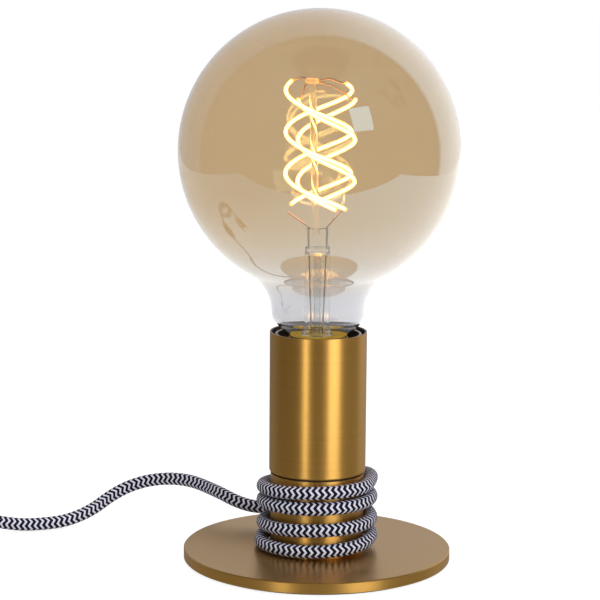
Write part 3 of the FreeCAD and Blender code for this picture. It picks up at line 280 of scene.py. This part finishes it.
# grey of the painted highlight at the skirt's rim
RIM_HIGHLIGHT_GREY = (0.30, 0.30, 0.32)
ROUGHNESS_SWING = 0.15                     # share by which a plain finish's roughness varies
BRAID_STEP = 2.58                          # one black and one white yarn along the cord
BRAID_WAVES = 5                            # zigzags round the cord
BRAID_LEAN = 1.05                          # twice the steps that a zigzag climbs to its peak
YARN_EDGE = (0.190, 0.225)                 # where white turns black, from a step's middle
FIBRES = (5200.0, 60.0)                    # the noise's scale, per metre along and per turn
CROWN_SHARE, FOLD_SHARE = 0.75, 0.25       # of the yarns' relief
BRAID_UV = "along_and_round"               # the cord's UV map: U along in metres, V round it


def plain(name, colour, roughness, metallic=0.0, speck=0.05, scale=900.0, bump=0.00004):
    """A finish with a fine texture: moulded plastic, rubber, plated metal or ceramic."""
    material, tree, shader = new_material(name, {"Metallic": metallic})
    noise = add(tree, "ShaderNodeTexNoise",
                {"Vector": object_place(tree), "Scale": scale, "Detail": 4.0}).outputs["Fac"]
    dark = tuple(c * (1.0 - speck) for c in colour)
    light = tuple(min(1.0, c * (1.0 + speck)) for c in colour)
    feed(tree, shader.inputs["Base Color"], ramp(tree, noise, [(0.3, dark), (0.7, light)]))
    smoother = roughness * (1.0 - ROUGHNESS_SWING)
    rougher = min(1.0, roughness * (1.0 + ROUGHNESS_SWING))
    feed(tree, shader.inputs["Roughness"], map_range(tree, noise, 0.0, 1.0, smoother, rougher))
    relief_into(tree, shader, noise, 0.3, bump)
    return material


def phenolic_rim_highlight(top):
    """Black phenolic with a thin pale ring painted at its rim, up to the height top: a painted
    highlight where the edge catches the light.
    """
    material = plain("phenolic_rim_highlight", PHENOLIC_BLACK, 0.4)
    tree = material.node_tree
    colour = tree.nodes["Principled BSDF"].inputs["Base Color"]
    black = colour.links[0].from_socket
    z = axes(tree, object_place(tree))["Z"]
    # the ring of painted highlight along the rim's top
    rim_highlight = maths(tree, "GREATER_THAN", z, top - RIM_HIGHLIGHT_H * MM)
    feed(tree, colour, mix(tree, rim_highlight, black, RIM_HIGHLIGHT_GREY))
    return material


def see_through_shadows(tree, shader, tint):
    """Light passes the glass with a pale shadow in place of a black one."""
    shadow = add(tree, "ShaderNodeLightPath").outputs["Is Shadow Ray"]
    clear = add(tree, "ShaderNodeBsdfTransparent", {"Color": tint})
    mix_surface(tree, shadow, shader.outputs[0], clear.outputs[0])


def globe_glass():
    """Amber-coated glass that turns clear at the neck."""
    material, tree, shader = new_material("amber_globe_glass", {
        "Transmission Weight": 1.0, "Roughness": 0.0, "IOR": 1.75, "Specular IOR Level": 1.0})
    z = axes(tree, object_place(tree))["Z"]
    height = map_range(tree, z, COAT_LOW_Z * MM, COAT_HIGH_Z * MM)
    coat = [(0.30, (0.74, 0.74, 0.76)), (0.72, (0.74, 0.65, 0.52)), (1.0, (0.715, 0.605, 0.44))]
    gleam = [(0.30, (0.62, 0.64, 0.68)), (0.62, (0.38, 0.72, 1.0)), (1.0, (0.36, 0.72, 1.0))]
    feed(tree, shader.inputs["Base Color"], ramp(tree, height, coat))
    feed(tree, shader.inputs["Specular Tint"], ramp(tree, height, gleam))
    see_through_shadows(tree, shader, (0.93, 0.86, 0.76))
    return material


def clear_glass(name, colour, glow=0.0):
    """Clear glass. The glow stands for the strands' light, which the glass gathers."""
    material, tree, shader = new_material(name, {
        "Base Color": colour, "Transmission Weight": 1.0, "Roughness": 0.02, "IOR": 1.48,
        "Emission Color": (1.0, 0.52, 0.14), "Emission Strength": glow})
    see_through_shadows(tree, shader, (0.95, 0.95, 0.95))
    return material


def filament_skin():
    """The amber skin round a strand's bright core."""
    return new_material("filament_skin", {
        "Base Color": (0.9, 0.45, 0.1), "Emission Color": (1.0, 0.36, 0.04),
        "Emission Strength": 2.6, "Alpha": 0.5})[0]


def filament_core():
    return new_material("filament_core", {
        "Base Color": (1.0, 0.70, 0.30), "Emission Color": (1.0, 0.70, 0.30),
        "Emission Strength": 16.0, "Roughness": 0.6})[0]


def textile_braid():
    """Zigzag braid of black and white yarns, in the same places as in braided_cord's mesh."""
    material, tree, shader = new_material("textile_braid", {
        "Roughness": 0.85, "Sheen Weight": 0.02, "Sheen Roughness": 0.5,
        "Specular IOR Level": 0.15})
    uv = add(tree, "ShaderNodeUVMap", uv_map=BRAID_UV)
    along, around, _ = axes(tree, uv.outputs["UV"])
    waves = maths(tree, "MULTIPLY", around, float(BRAID_WAVES))
    zigzag = maths(tree, "PINGPONG", waves, 0.5)
    rows = maths(tree, "DIVIDE", along, BRAID_STEP * MM)
    place = maths(tree, "FRACT", maths(tree, "MULTIPLY_ADD", zigzag, BRAID_LEAN, rows))
    across = maths(tree, "ABSOLUTE", maths(tree, "SUBTRACT", place, 0.5))
    dark_part = map_range(tree, across, *YARN_EDGE, kind="SMOOTHSTEP")
    grid = add(tree, "ShaderNodeCombineXYZ", {
        "X": maths(tree, "MULTIPLY", along, FIBRES[0]),
        "Y": maths(tree, "MULTIPLY", around, FIBRES[1])})
    fibres = add(tree, "ShaderNodeTexNoise", {
        "Vector": grid.outputs["Vector"], "Scale": 1.0, "Detail": 3.0}).outputs["Fac"]
    white = ramp(tree, fibres, [(0.25, (0.40, 0.40, 0.50)), (0.7, (0.60, 0.60, 0.73))])
    black = ramp(tree, fibres, [(0.3, (0.003, 0.003, 0.004)), (0.75, (0.010, 0.010, 0.014))])
    feed(tree, shader.inputs["Base Color"], mix(tree, dark_part, white, black))
    crown = maths(tree, "PINGPONG", maths(tree, "MULTIPLY_ADD", place, 2.0, 0.5), 0.5)
    folds = maths(tree, "PINGPONG", maths(tree, "MULTIPLY", waves, 2.0), 0.5)
    height = maths(tree, "MULTIPLY_ADD", folds, 0.25, crown)
    height = maths(tree, "MULTIPLY_ADD", fibres, 0.25, height)
    relief_into(tree, shader, height, 0.8, 0.00025)
    return material


# By material slot of the record.
finishes = {
    "brushed_brass": tube_brass("tube_brass"),
    "amber_glass": globe_glass(),
    "clear_glass": clear_glass("stem_glass", (0.97, 0.975, 0.97)),
    "filament_phosphor": filament_skin(),
    "bulb_wire": plain("bulb_wire", (0.45, 0.36, 0.30), 0.35, metallic=1.0),
    "textile_cord": textile_braid(),
    "zinc_steel": plain("zinc_steel", (0.55, 0.56, 0.58), 0.35, metallic=1.0),
    "nickel": plain("nickel", (0.66, 0.64, 0.60), 0.22, metallic=1.0),
    "copper_strip": plain("spring_brass", (0.70, 0.45, 0.22), 0.3, metallic=1.0),
    "black_phenolic": plain("black_phenolic", PHENOLIC_BLACK, 0.4),
    "ceramic_white": plain("glazed_ceramic", (0.78, 0.77, 0.73), 0.15),
    "black_rubber": plain("black_rubber", (0.02, 0.02, 0.02), 0.8, bump=0.0001),
    "board_green": plain("board_green", (0.02, 0.12, 0.05), 0.4),
    "black_glass_insulator": plain("insulator_glass", (0.01, 0.009, 0.013), 0.08),
    "brown_insulation": plain("brown_insulation", (0.16, 0.06, 0.02), 0.35),
    "blue_insulation": plain("blue_insulation", (0.02, 0.08, 0.35), 0.35),
    "gold_plastic": plain("gold_plastic", (0.42, 0.28, 0.10), 0.32, metallic=0.6, scale=1500.0),
    "black_plastic": plain("black_plastic", (0.015, 0.015, 0.016), 0.45),
    "cement": plain("cap_cement", (0.44, 0.35, 0.04), 0.6, speck=0.25, scale=420.0, bump=0.0003),
}
# Pieces whose look differs from the rest of their slot.
own_finishes = {
    "base_plate": plate_brass(),
    "socket_sleeve": tube_brass("sleeve_brass_bore_shade", SLEEVE_SHADE_R),
    "holder_skirt": phenolic_rim_highlight(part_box("holder_skirt")[1][2]),
    "top_bead": clear_glass("lit_bead_glass", (0.97, 0.93, 0.86), 0.30),
    "support_rod": clear_glass("lit_rod_glass", (0.97, 0.95, 0.90), 0.07),
}
slot_of = {part["node"]: part["material_slot"] for part in frame["record"]["subparts"]}
for name, piece in node.items():
    finish = own_finishes.get(name) or finishes.get(slot_of.get(name))
    if finish:
        dress(piece, finish)


def brush_the_rim(plate):
    """The plate's rim is brushed round, as the tubes are, while its faces are turned."""
    plate.data.materials.append(finishes["brushed_brass"])
    for face in plate.data.polygons:
        if abs(face.normal.z) < 0.5 and face.center.xy.length > PLATE_RIM_R * MM:
            face.material_index = 1


brush_the_rim(node["base_plate"])


# ------------------------------------------------------------------ bulb
# Each strand's helix: its middle's x and y, its radius, the angle it starts at, and how far its
# upper end lies below STRAND_TOP.
STRANDS = [
    (-0.7, 0.5, 14.5, 145.1, 0.0),
    (-0.7, 0.5, 14.5, 325.1, 0.0),
    (2.8, 0.9, 12.6, 4.4, 7.6),
    (2.8, 0.9, 12.6, 184.4, 7.6),
]
STRAND_TOP = CONTACT_Z + 139.6
STRAND_LOW = CONTACT_Z + 84.6
STRAND_PITCH = 36.6
CORE_R = 0.66
CORE_SHORT = 0.3           # the core ends this far inside its skin
CORE_PARTS = 90            # straight parts of its line


def turned_piece(name, outline, steps):
    """Spins an outline of (radius, height) points, in millimetres, round the upright axis."""
    clear_selection()
    radius, height = outline[0]
    bpy.ops.mesh.primitive_plane_add(size=MM, location=(radius * MM, 0, height * MM))
    piece = bpy.context.object
    piece.name = name
    settle(piece)
    bpy.ops.object.mode_set(mode="EDIT")
    bpy.ops.mesh.select_all(action="SELECT")
    bpy.ops.mesh.merge(type="CENTER")
    here = Vector((radius, 0, height))
    for radius, height in outline[1:]:
        there = Vector((radius, 0, height))
        bpy.ops.mesh.extrude_region_move(TRANSFORM_OT_translate={"value": (there - here) * MM})
        here = there
    bpy.ops.mesh.select_all(action="SELECT")
    bpy.ops.mesh.spin(steps=steps, angle=2 * math.pi, center=(0, 0, 0), axis=(0, 0, 1),
                      use_auto_merge=True)
    bpy.ops.mesh.select_all(action="SELECT")
    bpy.ops.mesh.remove_doubles(threshold=0.000004)
    bpy.ops.mesh.normals_make_consistent(inside=False)
    bpy.ops.object.mode_set(mode="OBJECT")
    return piece


def arc_points(centre, radius, start, end, count):
    """Points of an arc in the upright plane, from one angle to another."""
    points = []
    for k in range(count + 1):
        angle = math.radians(start + (end - start) * k / count)
        points.append((centre[0] + radius * math.cos(angle),
                       centre[1] + radius * math.sin(angle)))
    return points


def glass_outline():
    """The bulb's outer outline from its pole down to its foot."""
    reach = GLOBE_R + NECK_FILLET_R
    fillet_x = NECK_R + NECK_FILLET_R
    drop = math.sqrt(reach ** 2 - fillet_x ** 2)
    touch = math.degrees(math.atan2(-drop, fillet_x))
    outline = arc_points((0, GLOBE_Z), GLOBE_R, 90.0, touch, count=84)
    outline[0] = (0.0, GLOBE_Z + GLOBE_R)
    outline += arc_points((fillet_x, GLOBE_Z - drop), NECK_FILLET_R, 180.0 + touch, 180.0,
                          count=20)[1:]
    outline += arc_points((NECK_R - SHOULDER_R, SHOULDER_Z), SHOULDER_R, 0.0, -45.0, count=10)
    end_x, end_z = outline[-1]
    outline.append((GLASS_FOOT_R, end_z - (end_x - GLASS_FOOT_R)))
    outline.append((GLASS_FOOT_R, GLASS_FOOT_Z))
    return outline


globe = turned_piece("globe_glass", glass_outline(), steps=128)
wall = globe.modifiers.new("wall", "SOLIDIFY")
wall.thickness = GLASS_T * MM
wall.offset = -1.0
active(globe)
bpy.ops.object.modifier_apply(modifier="wall")
smooth(globe, 50.0)
dress(globe, finishes["amber_glass"])
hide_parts("bulb_glass")
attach(globe, "bulb")

bright_core = filament_core()


def strand_core(name, centre_x, centre_y, radius, start, below):
    """The bright core inside a strand's skin."""
    curve = bpy.data.curves.new(name, "CURVE")
    curve.dimensions = "3D"
    curve.bevel_depth = CORE_R * MM
    curve.bevel_resolution = 4
    curve.use_fill_caps = True
    line = curve.splines.new("POLY")
    top = STRAND_TOP - below - CORE_SHORT
    low = STRAND_LOW + CORE_SHORT
    line.points.add(CORE_PARTS)
    for k in range(CORE_PARTS + 1):
        z = top + (low - top) * k / CORE_PARTS
        angle = math.radians(start + 360.0 * (STRAND_TOP - below - z) / STRAND_PITCH)
        x = centre_x + radius * math.cos(angle)
        y = centre_y + radius * math.sin(angle)
        line.points[k].co = (x * MM, y * MM, z * MM, 1.0)
    core = bpy.data.objects.new(name, curve)
    bpy.context.collection.objects.link(core)
    active(core)
    bpy.ops.object.convert(target="MESH")
    core = bpy.context.object
    smooth(core, 60.0)
    dress(core, bright_core)
    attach(core, "bulb")


for number, strand in enumerate(STRANDS, 1):
    strand_core(f"filament_core_{number}", *strand)


# ------------------------------------------------------------------ cord
CORD_R = 3.0
WIND_R = 24.3              # from the column's axis to the cord's middle
WIND_START, WIND_END = 140.0, 1440.0
WIND_STEP = 22.5           # between two points of the winding's route
WIND_HEIGHTS = [           # (angle, the cord's middle above the plate)
    (140.0, 4.1), (180.0, 3.3), (270.0, 3.7), (360.0, 5.6),
    (450.0, 9.0), (540.0, 11.2), (630.0, 13.3), (720.0, 13.8),
    (810.0, 17.6), (900.0, 21.5), (990.0, 23.2), (1080.0, 23.5),
    (1170.0, 24.6), (1260.0, 27.8), (1350.0, 30.3), (1440.0, 30.3),
]
LOOSE_BY = 1.1             # the first turn stands off the column by this,
LOOSE_AT, LOOSE_OVER = 190.0, 40.0     # at this angle and fading away over this many degrees
EXIT_BEND_R = 6.5          # bend of the cord as it leaves its hole
EXIT_R = 21.4              # where that bend begins
CORD_IN = (19.0, 9.0, 1.5)             # points of the route inside, back from that place
LEAVE_POINTS = [
    (24.7, 4.0, 36.5), (24.4, 12.8, 36.2), (20.86, 20.86, 35.2), (17.67, 25.52, 33.3),
]
RUN_POINTS = [
    (12.2, 30.5, 30.0), (5.6, 33.6, 26.3), (-1.7, 34.4, 22.0), (-10.4, 32.7, 17.6),
    (-19.7, 33.6, 14.8), (-29.0, 36.3, 14.0), (-37.6, 40.6, 15.5), (-44.7, 47.2, 17.5),
    (-50.6, 56.0, 17.8), (-57.6, 62.7, 19.0), (-65.6, 67.1, 19.5), (-74.4, 69.3, 19.0),
    (-83.4, 69.3, 17.5), (-91.9, 67.0, 14.9), (-99.2, 62.7, 11.4), (-105.1, 56.4, 7.9),
    (-111.3, 50.1, 5.7), (-119.1, 45.4, 3.9), (-128.5, 41.9, 3.5), (-138.3, 40.2, 3.4),
    (-148.0, 39.7, 4.6), (-157.4, 39.6, 6.7), (-166.5, 39.6, 7.6),
]
LEAD_POINTS = [
    (-226.5, 39.6, 7.6), (-235.6, 39.7, 6.9), (-245.2, 40.1, 5.3), (-255.2, 40.2, 4.2),
    (-265.5, 39.9, 3.9),
]
END_POINTS = [
    (-268.0, -39.6, 10.4), (-260.0, -39.9, 9.0), (-252.0, -40.0, 7.6), (-245.0, -39.6, 7.0),
    (-240.0, -39.6, 7.0),
]
COIL_X, COIL_Y = -283.0, 0.0
COIL_OUT_R = 39.6
COIL_STEP = 6.6            # between two turns, both inwards and upwards
COIL_TURNS = 4.5
COIL_LOW_Z = 4.0
COIL_START = 90.0
COIL_CLIMB = 0.5           # turns in which it climbs from its lower layer to its upper one
COIL_POINTS = 16           # points of the coil's route in a turn
COIL_LEAD = 4.0            # straight on from the coil's ends


def polar(radius, degrees, z=0.0):
    angle = math.radians(degrees)
    return Vector((radius * math.cos(angle), radius * math.sin(angle), z))


def control_radius(radius, step):
    """The radius of control points, a step apart, whose line touches the radius between them."""
    return radius / math.cos(math.radians(step / 2))


def wind_height(angle):
    """Height of the winding at an angle, smooth through the table's heights."""
    table = WIND_HEIGHTS
    last = len(table) - 1
    k = 0
    while k < last - 1 and angle > table[k + 1][0]:
        k += 1

    def slope(n):
        if n == 0:
            return 0.0
        a0, z0 = table[n - 1]
        a1, z1 = table[min(n + 1, last)]
        return (z1 - z0) / (a1 - a0)

    (a0, z0), (a1, z1) = table[k], table[k + 1]
    t = (angle - a0) / (a1 - a0)
    span = a1 - a0
    h00 = 2 * t ** 3 - 3 * t ** 2 + 1
    h10 = t ** 3 - 2 * t ** 2 + t
    h01 = -2 * t ** 3 + 3 * t ** 2
    h11 = t ** 3 - t ** 2
    return h00 * z0 + h10 * span * slope(k) + h01 * z1 + h11 * span * slope(k + 1)


def lamp_cord_points():
    """From the cut end inside the column, out of its hole, round the column, to the switch."""
    inner = WIND_R - EXIT_BEND_R
    bend = math.degrees(math.acos(
        (EXIT_R ** 2 - inner ** 2 - EXIT_BEND_R ** 2) / (2 * inner * EXIT_BEND_R)))
    hole = polar(inner, WIND_START) + polar(EXIT_BEND_R, WIND_START - bend)
    hole.z = PLATE_TOP + WIND_HEIGHTS[0][1]
    way = polar(1.0, WIND_START - bend + 90.0)
    corner = hole + way * (EXIT_BEND_R * math.tan(math.radians(bend / 2)))
    points = [hole - way * back for back in CORD_IN] + [corner]
    ring = control_radius(WIND_R, WIND_STEP)
    angle = WIND_START + WIND_STEP / 2
    while angle < WIND_END - 0.3 * WIND_STEP:
        loose = LOOSE_BY * math.exp(-((angle - LOOSE_AT) / LOOSE_OVER) ** 2)
        points.append(polar(ring + loose, angle, PLATE_TOP + wind_height(angle)))
        angle += WIND_STEP
    return points + [Vector(p) for p in LEAVE_POINTS + RUN_POINTS]


def coil_point(turn):
    """The coil winds inwards, climbs at its middle, and winds outwards on top of itself."""
    inward = min(turn, COIL_TURNS - turn)
    ring = control_radius(COIL_OUT_R - COIL_STEP * inward, 360.0 / COIL_POINTS)
    climb = min(max((turn - COIL_TURNS / 2.0) / COIL_CLIMB + 0.5, 0.0), 1.0)
    eased = climb * climb * (3.0 - 2.0 * climb)
    place = polar(ring, COIL_START + 360.0 * turn, COIL_LOW_Z + COIL_STEP * eased)
    return Vector((COIL_X, COIL_Y, 0.0)) + place


def plug_cord_points():
    """From the switch through the coil to the plug."""
    points = [Vector(p) for p in LEAD_POINTS]
    points.append(Vector((COIL_X + COIL_LEAD, COIL_Y + COIL_OUT_R, COIL_LOW_Z)))
    step = 1.0 / COIL_POINTS
    turn = step / 2
    while turn < COIL_TURNS:
        points.append(coil_point(turn))
        turn += step
    points.append(Vector((COIL_X + COIL_LEAD, COIL_Y - COIL_OUT_R, COIL_LOW_Z + COIL_STEP)))
    return points + [Vector(p) for p in END_POINTS]


def smooth_line(points):
    """The NURBS line that has the points as its control points, as a chain in metres."""
    curve = bpy.data.curves.new("route", "CURVE")
    curve.dimensions = "3D"
    curve.resolution_u = 24
    line = curve.splines.new("NURBS")
    line.points.add(len(points) - 1)
    for point, place in zip(line.points, points):
        point.co = (place.x * MM, place.y * MM, place.z * MM, 1.0)
    line.order_u = 3
    line.use_endpoint_u = True
    carrier = bpy.data.objects.new("route", curve)
    bpy.context.collection.objects.link(carrier)
    bpy.context.view_layer.update()
    seen = carrier.evaluated_get(bpy.context.evaluated_depsgraph_get())
    mesh = bpy.data.meshes.new_from_object(seen)
    chain = [v.co.copy() for v in mesh.vertices]
    bpy.data.objects.remove(carrier)
    bpy.data.meshes.remove(mesh)
    return chain


def even_chain(chain, spacing):
    """The same line with points at an even spacing, and its length."""
    lengths = [0.0]
    for a, b in zip(chain[:-1], chain[1:]):
        lengths.append(lengths[-1] + (b - a).length)
    total = lengths[-1]
    count = max(2, int(round(total / spacing)))
    even = []
    k = 0
    for n in range(count + 1):
        target = total * n / count
        while k < len(lengths) - 2 and lengths[k + 1] < target:
            k += 1
        part = (target - lengths[k]) / max(lengths[k + 1] - lengths[k], 1e-9)
        even.append(chain[k].lerp(chain[k + 1], min(max(part, 0.0), 1.0)))
    return even, total


def cord_radius(along, around, relief):
    """The cord's radius where its yarns stand out, along in metres and around from 0 to 1."""
    wave = (around * BRAID_WAVES) % 1.0
    zigzag = min(wave, 1.0 - wave)
    place = (along / (BRAID_STEP * MM) + BRAID_LEAN * zigzag) % 0.5
    crown = math.sin(math.pi * place / 0.5)
    fold = abs(math.sin(2.0 * math.pi * around * BRAID_WAVES))
    return CORD_R * MM - relief + relief * (CROWN_SHARE * crown + FOLD_SHARE * fold)


def braided_cord(name, points, spacing, sides, relief):
    """A cord's mesh along its route, as rings of so many sides, with its UV map. The spacing of
    the rings and the yarns' relief are in metres. Gives the cord, its line and its length."""
    chain, total = even_chain(smooth_line(points), spacing)
    count = len(chain)
    alongs = [total * k / (count - 1) for k in range(count)]
    tangents = [(chain[min(k + 1, count - 1)] - chain[max(k - 1, 0)]).normalized()
                for k in range(count)]
    side = tangents[0].orthogonal().normalized()
    verts = []
    for centre, tangent, along in zip(chain, tangents, alongs):
        side = (side - tangent * side.dot(tangent)).normalized()
        other = tangent.cross(side)
        for n in range(sides):
            angle = 2.0 * math.pi * (n / sides)
            outwards = side * math.cos(angle) + other * math.sin(angle)
            verts.append(centre + outwards * cord_radius(along, n / sides, relief))
    faces, places = [], []
    strips = [(n, (n + 1) % sides, n / sides, (n + 1) / sides) for n in range(sides)]
    for k in range(count - 1):
        a, b = k * sides, (k + 1) * sides
        here, there = alongs[k], alongs[k + 1]
        for n, m, left, right in strips:
            faces.append((a + n, a + m, b + m, b + n))
            places += [(here, left), (here, right), (there, right), (there, left)]
    start, end = len(verts), len(verts) + 1
    verts += [chain[0], chain[-1]]
    last = (count - 1) * sides
    for n, m, left, right in strips:
        faces += [(start, m, n), (end, last + n, last + m)]
        places += [(0.0, 0.5), (0.0, right), (0.0, left)]
        places += [(total, 0.5), (total, left), (total, right)]
    mesh = bpy.data.meshes.new(name)
    mesh.from_pydata(verts, [], faces)
    layer = mesh.uv_layers.new(name=BRAID_UV)
    for corner, place in zip(layer.data, places):
        corner.uv = place
    piece = bpy.data.objects.new(name, mesh)
    bpy.context.collection.objects.link(piece)
    smooth(piece, 70.0)
    dress(piece, finishes["textile_cord"])
    return piece, chain[::2] + [chain[-1]], total


points = lamp_cord_points()
lamp_cord, line, total = braided_cord("lamp_cord", points, spacing=0.52 * MM, sides=30,
                                      relief=0.16 * MM)
print("lamp cord", round(total, 4))
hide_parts("cord_winding", "cord_run")
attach(lamp_cord, "lamp")

plug_cord, line, total = braided_cord("plug_cord", plug_cord_points(), spacing=0.8 * MM, sides=24,
                                      relief=0.12 * MM)
print("plug cord", round(total, 4))
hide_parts("cord_lead", "cord_coil", "cord_end")
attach(plug_cord, "lamp")


# ------------------------------------------------------------------ floor, light and camera
# The studio's sizes are in metres.
FLOOR_SIZE = (1.6, 6.0)
FLOOR_MIDDLE_Y = 2.64
FLOOR_DROP = 0.0002        # below the pad, so that the two don't flicker
FLOOR_FADE = 0.40          # its reflection brightens from this far left to this far right
FLOOR_IN_METAL = (0.18, 0.18)    # (gain to the right, start at the left)
FLOOR_IN_GLASS = (1.35, 0.75)
FLOOR_SEEN = 1.28          # its own light where the camera sees it
FLOOR_SEEN_SHARE = 0.70    # what that light makes up of its look, the rest being its shaded face
WHITE = (1.0, 1.0, 1.0)
ROOM_FRONT = (0.13, 0.11, 0.085)       # what metal and glass mirror of the room in front
ROOM_LIGHT = (0.42, 0.42, 0.43)        # what the room sheds on everything
BACKDROP = (0.32, 0.42)    # how far back a direction points where the backdrop comes in
BACKDROP_SIDE = 0.9        # its colours change over directions from this far left to right
GLASS_GAIN = 1.9           # lifts the backdrop above white where glass mirrors it
LAMP_MIDDLE_Z = 0.13       # where the softboxes point
# name, azimuth, elevation, distance, width, height, watts, mirrored, and whether it lights the
# glass as well. Azimuth counts from the camera's side, to the right.
SOFTBOXES = [
    ("right_softbox", 36.0, 31.0, 1.3, 0.36, 0.40, 1.3, True, True),
    ("left_strip", -29.0, 10.0, 1.5, 0.26, 1.2, 4.3, True, False),
    ("right_strip", 38.0, 10.0, 1.5, 0.75, 1.2, 9.0, True, False),
    ("front_fill", 20.0, 35.0, 1.3, 0.9, 0.7, 6.0, False, True),
    ("top_fill", 0.0, 86.0, 1.3, 1.1, 0.9, 9.0, False, True),
]
CAMERA_PLACE = (-4.8, -1008.9, 289.6)      # millimetres
CAMERA_PITCH, CAMERA_ROLL, CAMERA_YAW = 9.63, 0.43, -0.20
CAMERA_LENS, CAMERA_SENSOR = 138.24, 36.0  # millimetres


def seen_rays(tree, paths):
    """1 for what the camera sees, straight or through glass."""
    return maths(tree, "MAXIMUM", paths["Is Camera Ray"], paths["Is Transmission Ray"])


def studio_floor():
    """A white floor with soft shadows, whose mirror image is dimmer in metal than in glass."""
    clear_selection()
    bpy.ops.mesh.primitive_plane_add(size=1.0, location=(0.0, FLOOR_MIDDLE_Y, -FLOOR_DROP))
    floor = bpy.context.object
    floor.name = "studio_floor"
    floor.scale = (*FLOOR_SIZE, 1.0)
    settle(floor)
    material, tree, shader = new_material(
        "studio_floor", {"Base Color": (0.86, 0.86, 0.86), "Roughness": 0.9})
    paths = add(tree, "ShaderNodeLightPath").outputs
    x = axes(tree, object_place(tree))["X"]
    side = map_range(tree, x, -FLOOR_FADE, FLOOR_FADE, kind="SMOOTHSTEP")
    in_metal = maths(tree, "MULTIPLY_ADD", side, *FLOOR_IN_METAL)
    in_glass = maths(tree, "MULTIPLY_ADD", side, *FLOOR_IN_GLASS)
    gain = maths(tree, "SUBTRACT", in_glass, in_metal)
    mirrored = maths(tree, "MULTIPLY_ADD", paths["Is Singular Ray"], gain, in_metal)
    seen = seen_rays(tree, paths)
    rest = maths(tree, "SUBTRACT", FLOOR_SEEN, mirrored)
    glow = add(tree, "ShaderNodeEmission", {
        "Color": WHITE, "Strength": maths(tree, "MULTIPLY_ADD", seen, rest, mirrored)})
    share = maths(tree, "MAXIMUM", maths(tree, "MULTIPLY", seen, FLOOR_SEEN_SHARE),
                  maths(tree, "SUBTRACT", paths["Is Glossy Ray"], seen))
    mix_surface(tree, share, shader.outputs[0], glow.outputs[0])
    dress(floor, material)


def studio_world():
    """White where it is seen. In reflections it is bright behind the lamp and dark in front."""
    world = bpy.data.worlds.new("studio")
    bpy.context.scene.world = world
    world.use_nodes = True
    tree = world.node_tree
    x, y, _ = axes(tree, add(tree, "ShaderNodeTexCoord").outputs["Generated"])
    behind = map_range(tree, y, *BACKDROP, kind="SMOOTHSTEP")
    sideways = map_range(tree, x, -BACKDROP_SIDE, BACKDROP_SIDE, kind="SMOOTHSTEP")
    paths = add(tree, "ShaderNodeLightPath").outputs
    in_metal = ramp(tree, sideways, [
        (0.0, (0.25, 0.27, 0.36)), (0.5, (0.43, 0.47, 0.62)), (1.0, (0.66, 0.68, 0.85))])
    in_glass = ramp(tree, sideways, [
        (0.0, (0.20, 0.20, 0.22)), (0.5, (0.42, 0.42, 0.45)), (1.0, WHITE)])
    brighter = add(tree, "ShaderNodeVectorMath", operation="SCALE")
    feed(tree, brighter.inputs[0], in_glass)
    feed(tree, brighter.inputs["Scale"], GLASS_GAIN)
    backdrop = mix(tree, paths["Is Singular Ray"], in_metal, brighter.outputs[0])
    mirrored = mix(tree, behind, ROOM_FRONT, backdrop)
    unseen = mix(tree, paths["Is Glossy Ray"], ROOM_LIGHT, mirrored)
    colour = mix(tree, seen_rays(tree, paths), unseen, WHITE)
    feed(tree, tree.nodes["Background"].inputs["Color"], colour)


def opaque_pieces():
    """Every piece but the bulb's glass, which the two strips leave without a reflection."""
    group = bpy.data.collections.new("opaque_pieces")
    for name, piece in node.items():
        if slot_of.get(name) not in ("amber_glass", "clear_glass"):
            group.objects.link(piece)
    group.objects.link(lamp_cord)
    group.objects.link(plug_cord)
    return group


def softbox(name, azimuth, elevation, distance, width, height, watts, mirrored, on_glass):
    """A softbox that faces the lamp."""
    a, e = math.radians(azimuth), math.radians(elevation)
    way = Vector((math.sin(a) * math.cos(e), -math.cos(a) * math.cos(e), math.sin(e)))
    data = bpy.data.lights.new(name, "AREA")
    data.shape = "RECTANGLE"
    data.size = width
    data.size_y = height
    data.energy = watts
    lamp = bpy.data.objects.new(name, data)
    bpy.context.collection.objects.link(lamp)
    lamp.location = Vector((0, 0, LAMP_MIDDLE_Z)) + way * distance
    lamp.rotation_mode = "QUATERNION"
    lamp.rotation_quaternion = way.to_track_quat("Z", "Y")
    lamp.visible_glossy = mirrored
    lamp.visible_transmission = mirrored
    if not on_glass:
        lamp.light_linking.receiver_collection = opaque


def photo_camera():
    """The photograph's view: a little from above, through a long lens, with a slight roll."""
    pitch, roll, yaw = (math.radians(v) for v in (CAMERA_PITCH, CAMERA_ROLL, CAMERA_YAW))
    level = Vector((math.sin(yaw), math.cos(yaw), 0.0))
    sideways = Vector((math.cos(yaw), -math.sin(yaw), 0.0))
    upright = Vector((0.0, 0.0, 1.0))
    ahead = level * math.cos(pitch) - upright * math.sin(pitch)
    above = upright * math.cos(pitch) + level * math.sin(pitch)
    right = sideways * math.cos(roll) + above * math.sin(roll)
    up = above * math.cos(roll) - sideways * math.sin(roll)
    data = bpy.data.cameras.new("photo_camera")
    data.lens = CAMERA_LENS
    data.sensor_width = CAMERA_SENSOR
    data.clip_start = 0.05
    data.clip_end = 20.0
    camera = bpy.data.objects.new("photo_camera", data)
    bpy.context.collection.objects.link(camera)
    turn = Matrix((right, up, -ahead)).transposed().to_4x4()
    camera.matrix_world = Matrix.Translation(Vector(CAMERA_PLACE) * MM) @ turn
    bpy.context.scene.camera = camera


studio_floor()
studio_world()
opaque = opaque_pieces()
for row in SOFTBOXES:
    softbox(*row)
photo_camera()
